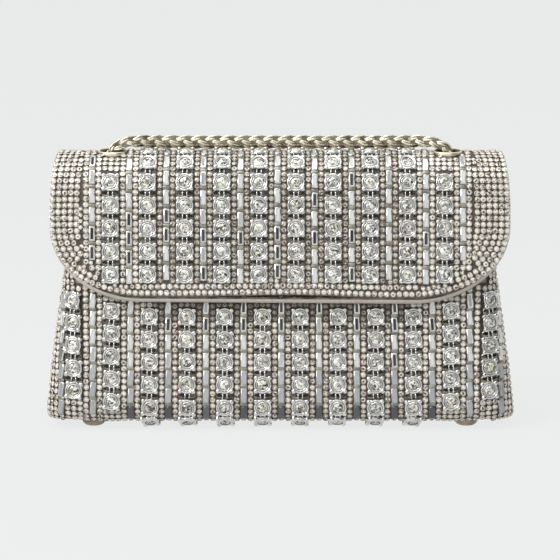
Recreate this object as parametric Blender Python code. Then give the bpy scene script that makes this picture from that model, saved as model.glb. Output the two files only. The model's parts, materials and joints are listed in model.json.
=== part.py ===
"""Crystal-covered shoulder bag with a fold-over flap and a doubled chain strap.

Metres, +Z up. The bag stands on four studs at z = 0, its front faces -Y and it is centred on X.
A place on the leather is given by a station on the surface and a level, the height above that surface:
leather, board and lining lie at levels below zero, crystal mesh and crystal chains at levels above it.
"""

import math

import bmesh
import bpy
from mathutils import Matrix, Vector

# Body outline
BOTTOM_HALF_WIDTH = 0.1178
HINGE_HALF_WIDTH = 0.1019
BOTTOM_HALF_DEPTH = 0.030
HINGE_HALF_DEPTH = 0.0145
BOTTOM_CORNER = 0.014
HINGE_CORNER = 0.010
EDGE_FILLET = 0.012
SIDE_FILLET = 0.005
FOOT_HEIGHT = 0.004
HINGE_HEIGHT = 0.1185
HINGE_OFFSET = 0.0015

# Layers of the body and of the flap
GAP = 0.0003
LEATHER = 0.0010
BODY_BOARD = 0.0015
BODY_LINING = 0.0008
FLAP_BOARD = 0.0008
FLAP_LINING = 0.0006
MESH = 0.0012
EMBED = 0.0006

# Flap outline
FLAP_CLEARANCE = 0.0050
FLAP_DROP = 0.0534
FLAP_SEAM_HALF_WIDTH = 0.1030
FLAP_HALF_WIDTH = 0.1120
FLAP_WIDEN_LENGTH = 0.069
FLAP_CORNER_WIDTH = 0.043
FLAP_CORNER_HEIGHT = 0.035
FLAP_BOARD_INSET = 0.0030
FLAP_MESH_INSET = 0.0010
BINDING_WIDTH = 0.0022
BINDING_PROUD = 0.0010
SEAM_GAP = 0.0003
GUSSET_SEAM_GAP = 0.0006

# Mouth binding
MOUTH_BINDING_WALL = 0.0006
MOUTH_BINDING_HEIGHT = 0.0045

# Crystal pattern
BLOCK = 0.0088
BLOCK_THICKNESS = 0.0008
STONE_TABLE = 0.0052
STONE_RISE = 0.0007
LINK_WIDTH = 0.0040
LINK_THICKNESS = 0.0008
LINK_BITE = 0.0008
LINK_END_SHARE = 0.6
FLAP_BLOCK_PITCH = 0.01145
FLAP_COLUMN_MARGIN = 0.0200
FLAP_PATTERN_SHIFT = -0.0012
CHAIN_TO_EYELET = 0.0076
BODY_BLOCK_PITCH = 0.01135
BODY_COLUMN_MARGIN = 0.0057
BODY_PATTERN_SHIFT = 0.0007
BAGUETTE_WIDTH = 0.0030
BAGUETTE_LENGTH = 0.0075
BAGUETTE_PITCH = 0.0094
BAGUETTE_RISE = 0.0008
BODY_TOP_BLOCK_HEIGHT = 0.0570
BODY_SIDE_BLOCK_HEIGHT = 0.0650
BODY_SECOND_BLOCK_HEIGHT = 0.0600
BODY_TOP_BAGUETTE_HEIGHT = 0.0620
BODY_MESH_TOP = 0.0735
BODY_MESH_BOTTOM = 0.0058
BACK_MESH_TOP_DROP = 0.0060
FLAP_EDGE_TO_BAGUETTE = 0.0076
FLAP_MESH_SEAM_MARGIN = 0.0040
MESH_SIDE_MARGIN = 0.0006
FLAP_SQUARE_COLUMNS = 10
FLAP_SQUARES = 7
FLAP_SIDE_SQUARES = 5
BODY_SQUARE_COLUMNS = 12
BODY_SQUARES = 6
BODY_SIDE_SQUARES = 5
FLAP_BAGUETTES = 9
FLAP_SIDE_BAGUETTES = 6
BODY_BAGUETTES = 6
FIRST_SQUARE_TILT = math.radians(9)
SIDE_BAGUETTE_TURN_SHARE = 0.8

# Studs under the base
FOOT_RADIUS = 0.0060
FOOT_FLAT_RADIUS = 0.0024
FOOT_RIM = 0.0008
FOOT_SHANK_RADIUS = 0.0012
FOOT_SIDE_MARGIN = 0.0235
FOOT_Y = 0.0145
PIN_CLEARANCE = 0.0003

# Eyelets in the crest of the flap
EYELET_X = 0.0840
EYELET_TILT = math.radians(4)
EYELET_BORE_RADIUS = 0.0061
EYELET_WALL = 0.0005
EYELET_FLANGE_RADIUS = 0.0076
EYELET_FLANGE_THICKNESS = 0.0014
WASHER_RADIUS = 0.0080
WASHER_THICKNESS = 0.0008

# Magnetic snap
SNAP_MARGIN = 0.0025
SNAP_RADIUS = 0.0070
SOCKET_THICKNESS = 0.0022
SOCKET_RECESS_RADIUS = 0.0042
SOCKET_RECESS_DEPTH = 0.0016
STUD_THICKNESS = 0.0018
STUD_NUB_RADIUS = 0.0024
STUD_NUB_LENGTH = 0.0011
SNAP_SHANK_RADIUS = 0.0015
SNAP_WASHER_RADIUS = 0.0055

# D-rings and their tabs
RING_HEIGHT = 0.0960
RING_WIRE_RADIUS = 0.0010
RING_HALF_WIDTH = 0.0050
RING_BAR_TO_BOTTOM = 0.0075
TAB_WIDTH = 0.0070
TAB_LENGTH = 0.0120
TAB_THICKNESS = 0.0016
TAB_EYE_WALL = 0.0009
RING_CLEARANCE = 0.0003

# Strap
STRAP_RADIUS = 0.0025
STRAP_STEP = 0.012

ROUND_STEPS = 24
OVERRUN = 0.0020

LEAN = (BOTTOM_HALF_DEPTH - HINGE_HALF_DEPTH) / (HINGE_HEIGHT - FOOT_HEIGHT)
FLARE = (BOTTOM_HALF_WIDTH - HINGE_HALF_WIDTH) / (HINGE_HEIGHT - FOOT_HEIGHT)
CORNER_GROWTH = (BOTTOM_CORNER - HINGE_CORNER) / (HINGE_HEIGHT - FOOT_HEIGHT)
LEAN_ANGLE = math.atan(LEAN)
MOUTH_HEIGHT = HINGE_HEIGHT - GAP - MOUTH_BINDING_WALL

MESH_TOP = GAP + MESH
BLOCK_LOW = MESH_TOP + GAP
BLOCK_TOP = BLOCK_LOW + BLOCK_THICKNESS
LINK_LEVEL = BLOCK_LOW + BLOCK_THICKNESS / 2
BODY_BOARD_TOP = -LEATHER - GAP
BODY_LINING_TOP = BODY_BOARD_TOP - BODY_BOARD - GAP
BODY_INSIDE = BODY_LINING_TOP - BODY_LINING
FLAP_BOARD_TOP = -LEATHER - GAP
FLAP_LINING_TOP = FLAP_BOARD_TOP - FLAP_BOARD - GAP
FLAP_INSIDE = FLAP_LINING_TOP - FLAP_LINING

FLAP_FRONT_HALF_DEPTH = HINGE_HALF_DEPTH + (FLAP_CLEARANCE - FLAP_INSIDE) / math.cos(LEAN_ANGLE)
FLAP_RADIUS = (
    (HINGE_HALF_DEPTH + FLAP_FRONT_HALF_DEPTH) * math.cos(LEAN_ANGLE) / (1 + math.cos(LEAN_ANGLE))
)
FLAP_CENTRE_Y = HINGE_HALF_DEPTH - FLAP_RADIUS
FLAP_ARC_ANGLE = math.pi - LEAN_ANGLE
FLAP_ARC = FLAP_RADIUS * FLAP_ARC_ANGLE
FLAP_LENGTH = FLAP_ARC + FLAP_DROP
FLAP_EDGE_HEIGHT = HINGE_HEIGHT + FLAP_RADIUS * math.sin(LEAN_ANGLE) - FLAP_DROP * math.cos(LEAN_ANGLE)

FLAP_COLUMN_PITCH = min(
    2 * (FLAP_HALF_WIDTH - FLAP_COLUMN_MARGIN) / FLAP_SQUARE_COLUMNS,
    2 * (EYELET_X - EYELET_FLANGE_RADIUS - CHAIN_TO_EYELET - BLOCK / 2) / (FLAP_SQUARE_COLUMNS - 3),
)
SIDE_CHAIN_ROOM = min(
    HINGE_HALF_WIDTH + FLARE * (HINGE_HEIGHT - BODY_SIDE_BLOCK_HEIGHT),
    BOTTOM_HALF_WIDTH - SIDE_FILLET,
)
BODY_COLUMN_PITCH = 2 * (SIDE_CHAIN_ROOM - BODY_COLUMN_MARGIN) / (BODY_SQUARE_COLUMNS - 1)
BODY_BARS_TOP = BODY_TOP_BAGUETTE_HEIGHT + BAGUETTE_LENGTH / 2
SNAP_HEIGHT = max(BODY_MESH_TOP, BODY_BARS_TOP, FLAP_EDGE_HEIGHT) + SNAP_RADIUS + SNAP_MARGIN
FOOT_X = BOTTOM_HALF_WIDTH - FOOT_SIDE_MARGIN


# Materials


def material(name, colour, roughness, metallic):
    """A Principled material with one colour."""
    made = bpy.data.materials.new(name)
    made.use_nodes = True
    shader = made.node_tree.nodes["Principled BSDF"]
    shader.inputs["Base Color"].default_value = (*colour, 1)
    shader.inputs["Roughness"].default_value = roughness
    shader.inputs["Metallic"].default_value = metallic
    made.diffuse_color = (*colour, 1)
    return made


# Solids from grids of points


def new_object(name, mesh, finish, parent=None):
    """One named object that shows mesh, moved into the frame of its parent empty."""
    made = bpy.data.objects.new(name, mesh)
    bpy.context.scene.collection.objects.link(made)
    if not mesh.materials:
        mesh.materials.append(finish)
    if parent:
        mesh.transform(Matrix.Translation(-parent.location))
        made.parent = parent
    return made


def mesh_from(name, points, faces):
    """A closed mesh with its faces pointing out and its round stretches smooth."""
    mesh = bpy.data.meshes.new(name)
    mesh.from_pydata(points, [], faces)
    tidy = bmesh.new()
    tidy.from_mesh(mesh)
    bmesh.ops.recalc_face_normals(tidy, faces=tidy.faces)
    tidy.to_mesh(mesh)
    tidy.free()
    mesh.shade_smooth()
    mesh.set_sharp_from_angle(angle=math.radians(30))
    return mesh


def slab(name, outer, inner):
    """A plate between two grids of points with the same rows and columns."""
    rows = len(outer)
    columns = len(outer[0])
    points = [p for grid in (outer, inner) for row in grid for p in row]
    inside = rows * columns
    faces = []
    for r in range(rows - 1):
        for c in range(columns - 1):
            corner = r * columns + c
            quad = (corner, corner + 1, corner + columns + 1, corner + columns)
            faces.append(quad)
            faces.append(tuple(inside + k for k in reversed(quad)))
    rim = [c for c in range(columns)]
    rim += [r * columns + columns - 1 for r in range(1, rows)]
    rim += [(rows - 1) * columns + c for c in range(columns - 2, -1, -1)]
    rim += [r * columns for r in range(rows - 2, 0, -1)]
    for a, b in zip(rim, rim[1:] + rim[:1]):
        faces.append((b, a, inside + a, inside + b))
    return mesh_from(name, points, faces)


def looped(name, rings, closed):
    """A skin through rings of points; closed joins the last ring to the first, else both are capped."""
    count = len(rings[0])
    points = [p for ring in rings for p in ring]
    faces = []
    last = len(rings) if closed else len(rings) - 1
    for r in range(last):
        here = r * count
        there = (r + 1) % len(rings) * count
        for c in range(count):
            after = (c + 1) % count
            faces.append((here + c, here + after, there + after, there + c))
    if not closed:
        faces.append(tuple(range(count)))
        faces.append(tuple(last * count + c for c in reversed(range(count))))
    return mesh_from(name, points, faces)


def turned(name, profile, steps=ROUND_STEPS):
    """A solid of revolution about Z. profile is (radius, z) from axis to axis, or a closed ring off it."""
    solid = profile[0][0] == 0
    rings = []
    for radius, z in profile[1:-1] if solid else profile:
        turn = [2 * math.pi * k / steps for k in range(steps)]
        rings.append([Vector((radius * math.cos(a), radius * math.sin(a), z)) for a in turn])
    return looped(name, rings, closed=not solid)


def carve(target, other, operation):
    """Joins other to target, or cuts it out, and removes other."""
    step = target.modifiers.new(operation.lower(), "BOOLEAN")
    step.operation = operation
    step.object = other
    step.solver = "EXACT"
    bpy.context.view_layer.update()
    graph = bpy.context.evaluated_depsgraph_get()
    result = bpy.data.meshes.new_from_object(target.evaluated_get(graph), depsgraph=graph)
    finish = target.data.materials[0]
    target.modifiers.clear()
    target.data = result
    result.materials.clear()
    result.materials.append(finish)
    result.shade_smooth()
    result.set_sharp_from_angle(angle=math.radians(30))
    bpy.data.objects.remove(other)


# Surface of the body


def fillet(rise, radius):
    """How far a rounded bottom edge draws in at a height above the base."""
    if rise >= radius:
        return 0
    return radius - math.sqrt(radius**2 - (radius - rise) ** 2)


def body_section(z):
    """Half-width, half-depth and corner radius of the body at a height."""
    below = HINGE_HEIGHT - z
    rise = max(z - FOOT_HEIGHT, 0)
    half_width = HINGE_HALF_WIDTH + below * FLARE - fillet(rise, SIDE_FILLET)
    half_depth = HINGE_HALF_DEPTH + below * LEAN - fillet(rise, EDGE_FILLET)
    return half_width, half_depth, HINGE_CORNER + below * CORNER_GROWTH


def body_point(turn, z):
    """Leather at a height. turn runs 0 front centre, 1 start of the corner, 2 its end, 3 side centre."""
    half_width, half_depth, corner = body_section(z)
    side = math.copysign(1, turn)
    turn = abs(turn)
    flat = half_width - corner
    if turn <= 1:
        x, y = turn * flat, -half_depth
    elif turn <= 2:
        angle = (turn - 1) * math.pi / 2
        x = flat + corner * math.sin(angle)
        y = -half_depth + corner - corner * math.cos(angle)
    else:
        x, y = half_width, (turn - 3) * (half_depth - corner)
    return Vector((side * x, y, z))


def body_frame(turn, z):
    """Point, outward normal and upward tangent of the leather."""
    small = GAP / 10
    step = 0.001
    point = body_point(turn, z)
    along = body_point(turn + step, z) - body_point(turn - step, z)
    up = body_point(turn, z + small) - point
    normal = along.cross(up).normalized()
    return point, normal, up.normalized()


def body_at(turn, z, level, back=False):
    """A point at a level above the body's leather, on the front half or mirrored on the back half."""
    point, normal, up = body_frame(turn, z)
    place = point + level * normal
    return Vector((place.x, -place.y, place.z)) if back else place


def turn_at(x, z):
    """The turn whose leather has this x on the front."""
    half_width, half_depth, corner = body_section(z)
    flat = half_width - corner
    if abs(x) <= flat:
        return x / flat
    return math.copysign(1 + math.asin((abs(x) - flat) / corner) / (math.pi / 2), x)


def edge_heights(low=FOOT_HEIGHT):
    """Heights down the rounded bottom edge, from its top to low."""
    steps = 5
    heights = [
        FOOT_HEIGHT + EDGE_FILLET * (1 - math.cos(k * math.pi / 2 / steps)) for k in range(steps, -1, -1)
    ]
    kept = [z for z in heights if z > low + GAP]
    return kept + [low]


def corner_turns(end=2):
    """Turns across the front, with steps round both corners."""
    steps = 5
    half = [1 + (end - 1) * k / steps for k in range(steps + 1)]
    return [-t for t in reversed(half)] + half


def body_heights(top, low=FOOT_HEIGHT):
    """Heights of the rows of a body panel, top to bottom."""
    return [top, *edge_heights(low)]


def body_loop(z, level):
    """A closed ring of points round the body at one height and level."""
    front = corner_turns()
    ring = [body_at(t, z, level) for t in front]
    ring += [body_at(t, z, level, back=True) for t in reversed(front)]
    return ring


# Body


def build_panels(leather):
    """Front and back panels wrap round the corners; gussets close the sides; the base closes the bottom."""
    turns = corner_turns()
    heights = body_heights(MOUTH_HEIGHT)
    for name, back in (("front_panel", False), ("back_panel", True)):
        outer = [[body_at(t, z, 0, back) for t in turns] for z in heights]
        inner = [[body_at(t, z, -LEATHER, back) for t in turns] for z in heights]
        new_object(name, slab(name, outer, inner), leather)
    for name, side in (("left_gusset", -1), ("right_gusset", 1)):
        outer = []
        inner = []
        for z in heights:
            half_width, half_depth, corner = body_section(z)
            reach = half_depth - corner - GUSSET_SEAM_GAP
            normal = body_frame(side * 3, z)[1]
            ends = [Vector((side * half_width, y, z)) for y in (-reach, reach)]
            outer.append(ends)
            inner.append([p - normal * LEATHER for p in ends])
        new_object(name, slab(name, outer, inner), leather)
    plate = plate_outline(SEAM_GAP)
    base = looped("base_panel", [raised(plate, FOOT_HEIGHT), raised(plate, FOOT_HEIGHT + LEATHER)], False)
    new_object("base_panel", base, leather)


def plate_outline(inset):
    """Outline of a plate in the flat bottom of the body."""
    half_width, half_depth, corner = body_section(FOOT_HEIGHT)
    half_width -= inset
    half_depth -= inset
    corner -= inset
    outline = []
    for quarter, (sx, sy) in enumerate(((1, -1), (1, 1), (-1, 1), (-1, -1))):
        for k in range(6):
            angle = math.pi / 2 * (quarter - 1 + k / 5)
            x = sx * (half_width - corner) + corner * math.cos(angle)
            y = sy * (half_depth - corner) + corner * math.sin(angle)
            outline.append(Vector((x, y, 0)))
    return outline


def raised(outline, z):
    """An outline at a height."""
    return [Vector((p.x, p.y, z)) for p in outline]


def build_boards(board):
    """Stiff boards between leather and lining."""
    low = FOOT_HEIGHT + EDGE_FILLET + GAP
    high = MOUTH_HEIGHT
    for name, back in (("front_stiffener", False), ("back_stiffener", True)):
        rows = []
        for level in (BODY_BOARD_TOP, BODY_BOARD_TOP - BODY_BOARD):
            rows.append([[body_at(t, z, level, back) for t in (-1, 1)] for z in (high, low)])
        new_object(name, slab(name, *rows), board)
    plate = plate_outline(BODY_BOARD)
    top = FOOT_HEIGHT - BODY_BOARD_TOP
    mesh = looped("base_board", [raised(plate, top), raised(plate, top + BODY_BOARD)], False)
    new_object("base_board", mesh, board)


def build_lining(cloth):
    """An open tub inside the boards."""
    heights = body_heights(MOUTH_HEIGHT)
    outer = [body_loop(z, BODY_LINING_TOP) for z in reversed(heights)]
    inner = [body_loop(z, BODY_INSIDE) for z in heights]
    new_object("lining", looped("lining", outer + inner, False), cloth)


def build_mouth_binding(leather):
    """A band folded over the top edges of shell, boards and lining."""
    under = MOUTH_HEIGHT + GAP
    top = under + MOUTH_BINDING_WALL
    foot = top - MOUTH_BINDING_HEIGHT
    outside = GAP + MOUTH_BINDING_WALL
    inside = BODY_INSIDE - GAP - MOUTH_BINDING_WALL
    section = (
        (outside, foot),
        (outside, top),
        (inside, top),
        (inside, foot),
        (inside + MOUTH_BINDING_WALL, foot),
        (inside + MOUTH_BINDING_WALL, under),
        (GAP, under),
        (GAP, foot),
    )
    rings = [body_loop(z, level) for level, z in section]
    new_object("mouth_binding", looped("mouth_binding", rings, True), leather)


def build_feet(metal):
    """Four domed studs with shanks through the base panel and its board."""
    shank_top = FOOT_HEIGHT + LEATHER + GAP + BODY_BOARD
    rise = FOOT_HEIGHT - GAP
    profile = [(0, 0), (FOOT_FLAT_RADIUS, 0)]
    for share in (0.35, 0.7, 1):
        angle = share * math.pi / 2
        radius = FOOT_FLAT_RADIUS + (FOOT_RADIUS - FOOT_FLAT_RADIUS) * math.sin(angle)
        profile.append((radius, (rise - FOOT_RIM) * (1 - math.cos(angle))))
    profile += [(FOOT_RADIUS, rise), (FOOT_SHANK_RADIUS, rise), (FOOT_SHANK_RADIUS, shank_top), (0, shank_top)]
    for end, y in (("front", -FOOT_Y), ("back", FOOT_Y)):
        for side, x in (("left", -FOOT_X), ("right", FOOT_X)):
            name = f"foot_{end}_{side}"
            foot = new_object(name, turned(name, profile, 16), metal)
            foot.location = (x, y, 0)
            for plate in ("base_panel", "base_board"):
                hole = turned("hole", rod(FOOT_SHANK_RADIUS + PIN_CLEARANCE, 0, shank_top + OVERRUN), 12)
                cutter = new_object("hole", hole, metal)
                cutter.location = (x, y, 0)
                carve(bpy.data.objects[plate], cutter, "DIFFERENCE")


def rod(radius, low, high):
    """Profile of a plain round bar."""
    return [(0, low), (radius, low), (radius, high), (0, high)]


# Surface of the flap


def flap_frame(travel):
    """Point, normal and downward tangent in the side view, at a distance from the back seam."""
    angle = min(travel, FLAP_ARC) / FLAP_RADIUS
    normal = Vector((0, math.cos(angle), math.sin(angle)))
    tangent = Vector((0, -math.sin(angle), math.cos(angle)))
    centre = Vector((0, FLAP_CENTRE_Y, HINGE_HEIGHT))
    point = centre + normal * FLAP_RADIUS + tangent * max(travel - FLAP_ARC, 0)
    return point, normal, tangent


def flap_at(x, travel, level):
    """A point at a level above the flap's leather."""
    point, normal, tangent = flap_frame(travel)
    place = point + normal * level
    return Vector((x, place.y, place.z))


def flap_travel(distance, level):
    """Travel on the leather for a distance measured at a level from the back seam."""
    arc = (FLAP_RADIUS + level) * FLAP_ARC_ANGLE
    if distance <= arc:
        return distance * FLAP_RADIUS / (FLAP_RADIUS + level)
    return FLAP_ARC + distance - arc


def flap_outline(inset=0, start=SEAM_GAP):
    """(half-width, travel) down one side of the flap, then round its lower corner."""
    points = []
    corner = FLAP_LENGTH - FLAP_CORNER_HEIGHT
    arc_steps = 10
    travels = [start + (FLAP_ARC - start) * k / arc_steps for k in range(arc_steps + 1)]
    travels.append(corner)
    for travel in travels:
        share = min(travel / FLAP_WIDEN_LENGTH, 1)
        widen = math.sin(share * math.pi / 2)
        half = FLAP_SEAM_HALF_WIDTH + (FLAP_HALF_WIDTH - FLAP_SEAM_HALF_WIDTH) * widen
        points.append((half - inset, travel))
    for k in range(1, 8):
        angle = k / 7 * math.pi / 2
        half = FLAP_HALF_WIDTH - FLAP_CORNER_WIDTH + (FLAP_CORNER_WIDTH - inset) * math.cos(angle)
        points.append((half, corner + (FLAP_CORNER_HEIGHT - inset) * math.sin(angle)))
    return points


def flap_sheet(name, top, thickness, inset):
    """One layer of the flap between two levels, drawn in from the outline."""
    grids = []
    for level in (top, top - thickness):
        grid = []
        for half, travel in flap_outline(inset):
            grid.append([flap_at(x, travel, level) for x in (-half, half)])
        grids.append(grid)
    return slab(name, *grids)


def build_flap(leather, board, cloth, hinge):
    """Outer leather, stiffener and lining of the flap."""
    new_object("flap_shell", flap_sheet("flap_shell", 0, LEATHER, 0), leather, hinge)
    layer = flap_sheet("flap_board", FLAP_BOARD_TOP, FLAP_BOARD, FLAP_BOARD_INSET)
    new_object("flap_board", layer, board, hinge)
    layer = flap_sheet("flap_lining", FLAP_LINING_TOP, FLAP_LINING, 0)
    new_object("flap_lining", layer, cloth, hinge)


def build_flap_binding(leather, hinge):
    """A rounded band along the flap's free edge, from seam to seam."""
    half = flap_outline()
    edge = [(x, travel) for x, travel in half] + [(-x, travel) for x, travel in reversed(half)]
    chamfer = BINDING_WIDTH / 3
    low = FLAP_INSIDE
    section = (
        (SEAM_GAP, low),
        (SEAM_GAP + BINDING_WIDTH - chamfer, low),
        (SEAM_GAP + BINDING_WIDTH, low + chamfer),
        (SEAM_GAP + BINDING_WIDTH, BINDING_PROUD - chamfer),
        (SEAM_GAP + BINDING_WIDTH - chamfer, BINDING_PROUD),
        (SEAM_GAP, BINDING_PROUD),
    )
    rings = []
    for k, (x, travel) in enumerate(edge):
        before = Vector(edge[max(k - 1, 0)])
        after = Vector(edge[min(k + 1, len(edge) - 1)])
        along = (after - before).normalized()
        out = Vector((along.y, -along.x))
        if k in (0, len(edge) - 1):
            out = Vector((math.copysign(1, x), 0))
        rings.append([flap_at(x + out.x * q, travel + out.y * q, level) for q, level in section])
    new_object("flap_binding", looped("flap_binding", rings, False), leather, hinge)


# Crystal mesh and baguettes


def box_on(frame, width, length, low, high):
    """Corners of a block that lies on a surface frame (point, normal, tangent along its length)."""
    point, normal, along = frame
    across = along.cross(normal)
    corners = []
    for level in (low, high):
        for u, v in ((-1, -1), (1, -1), (1, 1), (-1, 1)):
            corners.append(point + normal * level + across * (u * width / 2) + along * (v * length / 2))
    return corners


BOX_FACES = ((3, 2, 1, 0), (4, 5, 6, 7), (0, 1, 5, 4), (1, 2, 6, 5), (2, 3, 7, 6), (3, 0, 4, 7))


def boxes(name, corner_sets):
    """Separate blocks in one mesh, each from eight corners."""
    points = []
    faces = []
    for corners in corner_sets:
        faces += [tuple(len(points) + k for k in face) for face in BOX_FACES]
        points += corners
    return mesh_from(name, points, faces)


def flap_place(x, travel):
    """Surface frame on the flap at x."""
    point, normal, tangent = flap_frame(travel)
    return Vector((x, point.y, point.z)), normal, tangent


def centred(count, pitch):
    """Places with a pitch, centred on zero."""
    return [(k - (count - 1) / 2) * pitch for k in range(count)]


def baguette(frame):
    """One mirror bar, sunk into the mesh."""
    low = MESH_TOP - EMBED
    return box_on(frame, BAGUETTE_WIDTH, BAGUETTE_LENGTH, low, MESH_TOP + BAGUETTE_RISE)


def build_flap_mesh(mesh_finish, hinge):
    """Crystal mesh of the flap with its rows of mirror bars."""
    grids = []
    inset = FLAP_MESH_INSET
    outline = flap_outline(inset, FLAP_MESH_SEAM_MARGIN)
    for level in (MESH_TOP, GAP):
        grids.append([[flap_at(x, travel, level) for x in (-half, half)] for half, travel in outline])
    sheet = new_object("flap_crystal_mesh", slab("flap_crystal_mesh", *grids), mesh_finish, hinge)
    arc = (FLAP_RADIUS + LINK_LEVEL) * FLAP_ARC_ANGLE
    lowest = arc + FLAP_DROP - FLAP_EDGE_TO_BAGUETTE
    bars = []
    columns = centred(FLAP_SQUARE_COLUMNS + 1, FLAP_COLUMN_PITCH)
    for x in columns:
        outer = x in (columns[0], columns[-1])
        rows = range(1, 1 + FLAP_SIDE_BAGUETTES) if outer else range(FLAP_BAGUETTES)
        for k in rows:
            travel = flap_travel(lowest - k * BAGUETTE_PITCH, LINK_LEVEL)
            bars.append(baguette(flap_place(x + FLAP_PATTERN_SHIFT, travel)))
    carve(sheet, new_object("bars", boxes("bars", bars), mesh_finish, hinge), "UNION")
    return sheet


def front_profile(x, level, top, count, pitch):
    """Heights of count stations down the front at x, a pitch apart at a level, from height top."""
    heights = [top]
    z = top
    fine = pitch / 200
    while len(heights) < count:
        run = 0
        before = body_at(turn_at(x, z), z, level)
        while run < pitch:
            z -= min(fine, (z - FOOT_HEIGHT) * fine / EDGE_FILLET * 2)
            here = body_at(turn_at(x, z), z, level)
            run += (here - before).length
            before = here
        heights.append(z)
    return heights


def build_body_mesh(mesh_finish):
    """Crystal mesh of the front, with its mirror bars, and of the back."""
    end = 2 - MESH_SIDE_MARGIN / HINGE_CORNER
    turns = corner_turns(end)
    top = BODY_MESH_TOP
    for name, back in (("front_crystal_mesh", False), ("back_crystal_mesh", True)):
        heights = body_heights(MOUTH_HEIGHT - BACK_MESH_TOP_DROP if back else top, BODY_MESH_BOTTOM)
        outer = [[body_at(t, z, MESH_TOP, back) for t in turns] for z in heights]
        inner = [[body_at(t, z, GAP, back) for t in turns] for z in heights]
        sheet = new_object(name, slab(name, outer, inner), mesh_finish)
    sheet = bpy.data.objects["front_crystal_mesh"]
    bars = []
    for place in centred(BODY_SQUARE_COLUMNS - 1, BODY_COLUMN_PITCH):
        x = place + BODY_PATTERN_SHIFT
        for z in front_profile(x, LINK_LEVEL, BODY_TOP_BAGUETTE_HEIGHT, BODY_BAGUETTES, BAGUETTE_PITCH):
            point, normal, up = body_frame(turn_at(x, z), z)
            bars.append(baguette((point, normal, up)))
    for side in (-1, 1):
        turn = side * (1 + SIDE_BAGUETTE_TURN_SHARE)
        for k in range(BODY_BAGUETTES - 1):
            z = BODY_TOP_BAGUETTE_HEIGHT - k * BAGUETTE_PITCH
            bars.append(baguette(body_frame(turn, z)))
    carve(sheet, new_object("bars", boxes("bars", bars), mesh_finish), "UNION")


# Crystal chains


def crystal_chain(name, frames, finish, parent=None):
    """Square settings with a raised stone each, joined by link bars into one hanging chain."""
    points = []
    faces = []
    for frame in frames:
        first = len(points)
        points += box_on(frame, BLOCK, BLOCK, BLOCK_LOW, BLOCK_TOP)
        points += box_on(frame, STONE_TABLE, STONE_TABLE, BLOCK_TOP, BLOCK_TOP + STONE_RISE)[4:]
        faces.append((first + 3, first + 2, first + 1, first))
        for low in (0, 4):
            for k in range(4):
                after = (k + 1) % 4
                faces.append(tuple(first + low + n for n in (k, after, 4 + after, 4 + k)))
        faces.append(tuple(first + 8 + k for k in range(4)))
    chain = new_object(name, mesh_from(name, points, faces), finish, parent)
    links = []
    for (p, n, t), (q, m, s) in zip(frames, frames[1:]):
        down = 1 if (q - p).dot(t) > 0 else -1
        reach = BLOCK / 2 - LINK_BITE
        ends = []
        for point, normal, tangent, way in ((p, n, t, down), (q, m, s, -down)):
            across = tangent.cross(normal)
            near = point + normal * LINK_LEVEL + tangent * (way * reach)
            ends.append((near, across * LINK_WIDTH / 2, normal * LINK_THICKNESS / 2 * LINK_END_SHARE))
        (a, au, an), (b, bu, bn) = ends
        corners = [a - au - an, a + au - an, b + bu - bn, b - bu - bn]
        corners += [a - au + an, a + au + an, b + bu + bn, b - bu + bn]
        links.append(corners)
    carve(chain, new_object("links", boxes("links", links), finish, parent), "UNION")


def build_crystal_chains(finish, hinge):
    """The hanging chains of the flap and of the front."""
    first = (FLAP_RADIUS + LINK_LEVEL) * (math.pi / 2 + FIRST_SQUARE_TILT)
    columns = centred(FLAP_SQUARE_COLUMNS, FLAP_COLUMN_PITCH)
    for number, x in enumerate(columns, 1):
        skipped = FLAP_SQUARES - FLAP_SIDE_SQUARES if x in (columns[0], columns[-1]) else 0
        frames = []
        for k in range(skipped, FLAP_SQUARES):
            travel = flap_travel(first + k * FLAP_BLOCK_PITCH, LINK_LEVEL)
            frames.append(flap_place(x + FLAP_PATTERN_SHIFT, travel))
        crystal_chain(f"flap_crystal_chain_{number:02d}", frames, finish, hinge)
    columns = centred(BODY_SQUARE_COLUMNS, BODY_COLUMN_PITCH)
    for number, x in enumerate(columns, 1):
        from_side = min(number, BODY_SQUARE_COLUMNS + 1 - number)
        tops = {1: BODY_SIDE_BLOCK_HEIGHT, 2: BODY_SECOND_BLOCK_HEIGHT}
        top = tops.get(from_side, BODY_TOP_BLOCK_HEIGHT)
        count = BODY_SIDE_SQUARES if from_side in tops else BODY_SQUARES
        frames = []
        place = x + BODY_PATTERN_SHIFT
        for z in front_profile(place, LINK_LEVEL, top, count, BODY_BLOCK_PITCH):
            frames.append(body_frame(turn_at(place, z), z))
        crystal_chain(f"front_crystal_chain_{number:02d}", frames, finish)


# Fittings


def stand_on(made, point, normal):
    """Places a turned fitting with its Z axis along a normal."""
    made.location = point
    made.rotation_euler = normal.to_track_quat("Z", "Y").to_euler()


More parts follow.
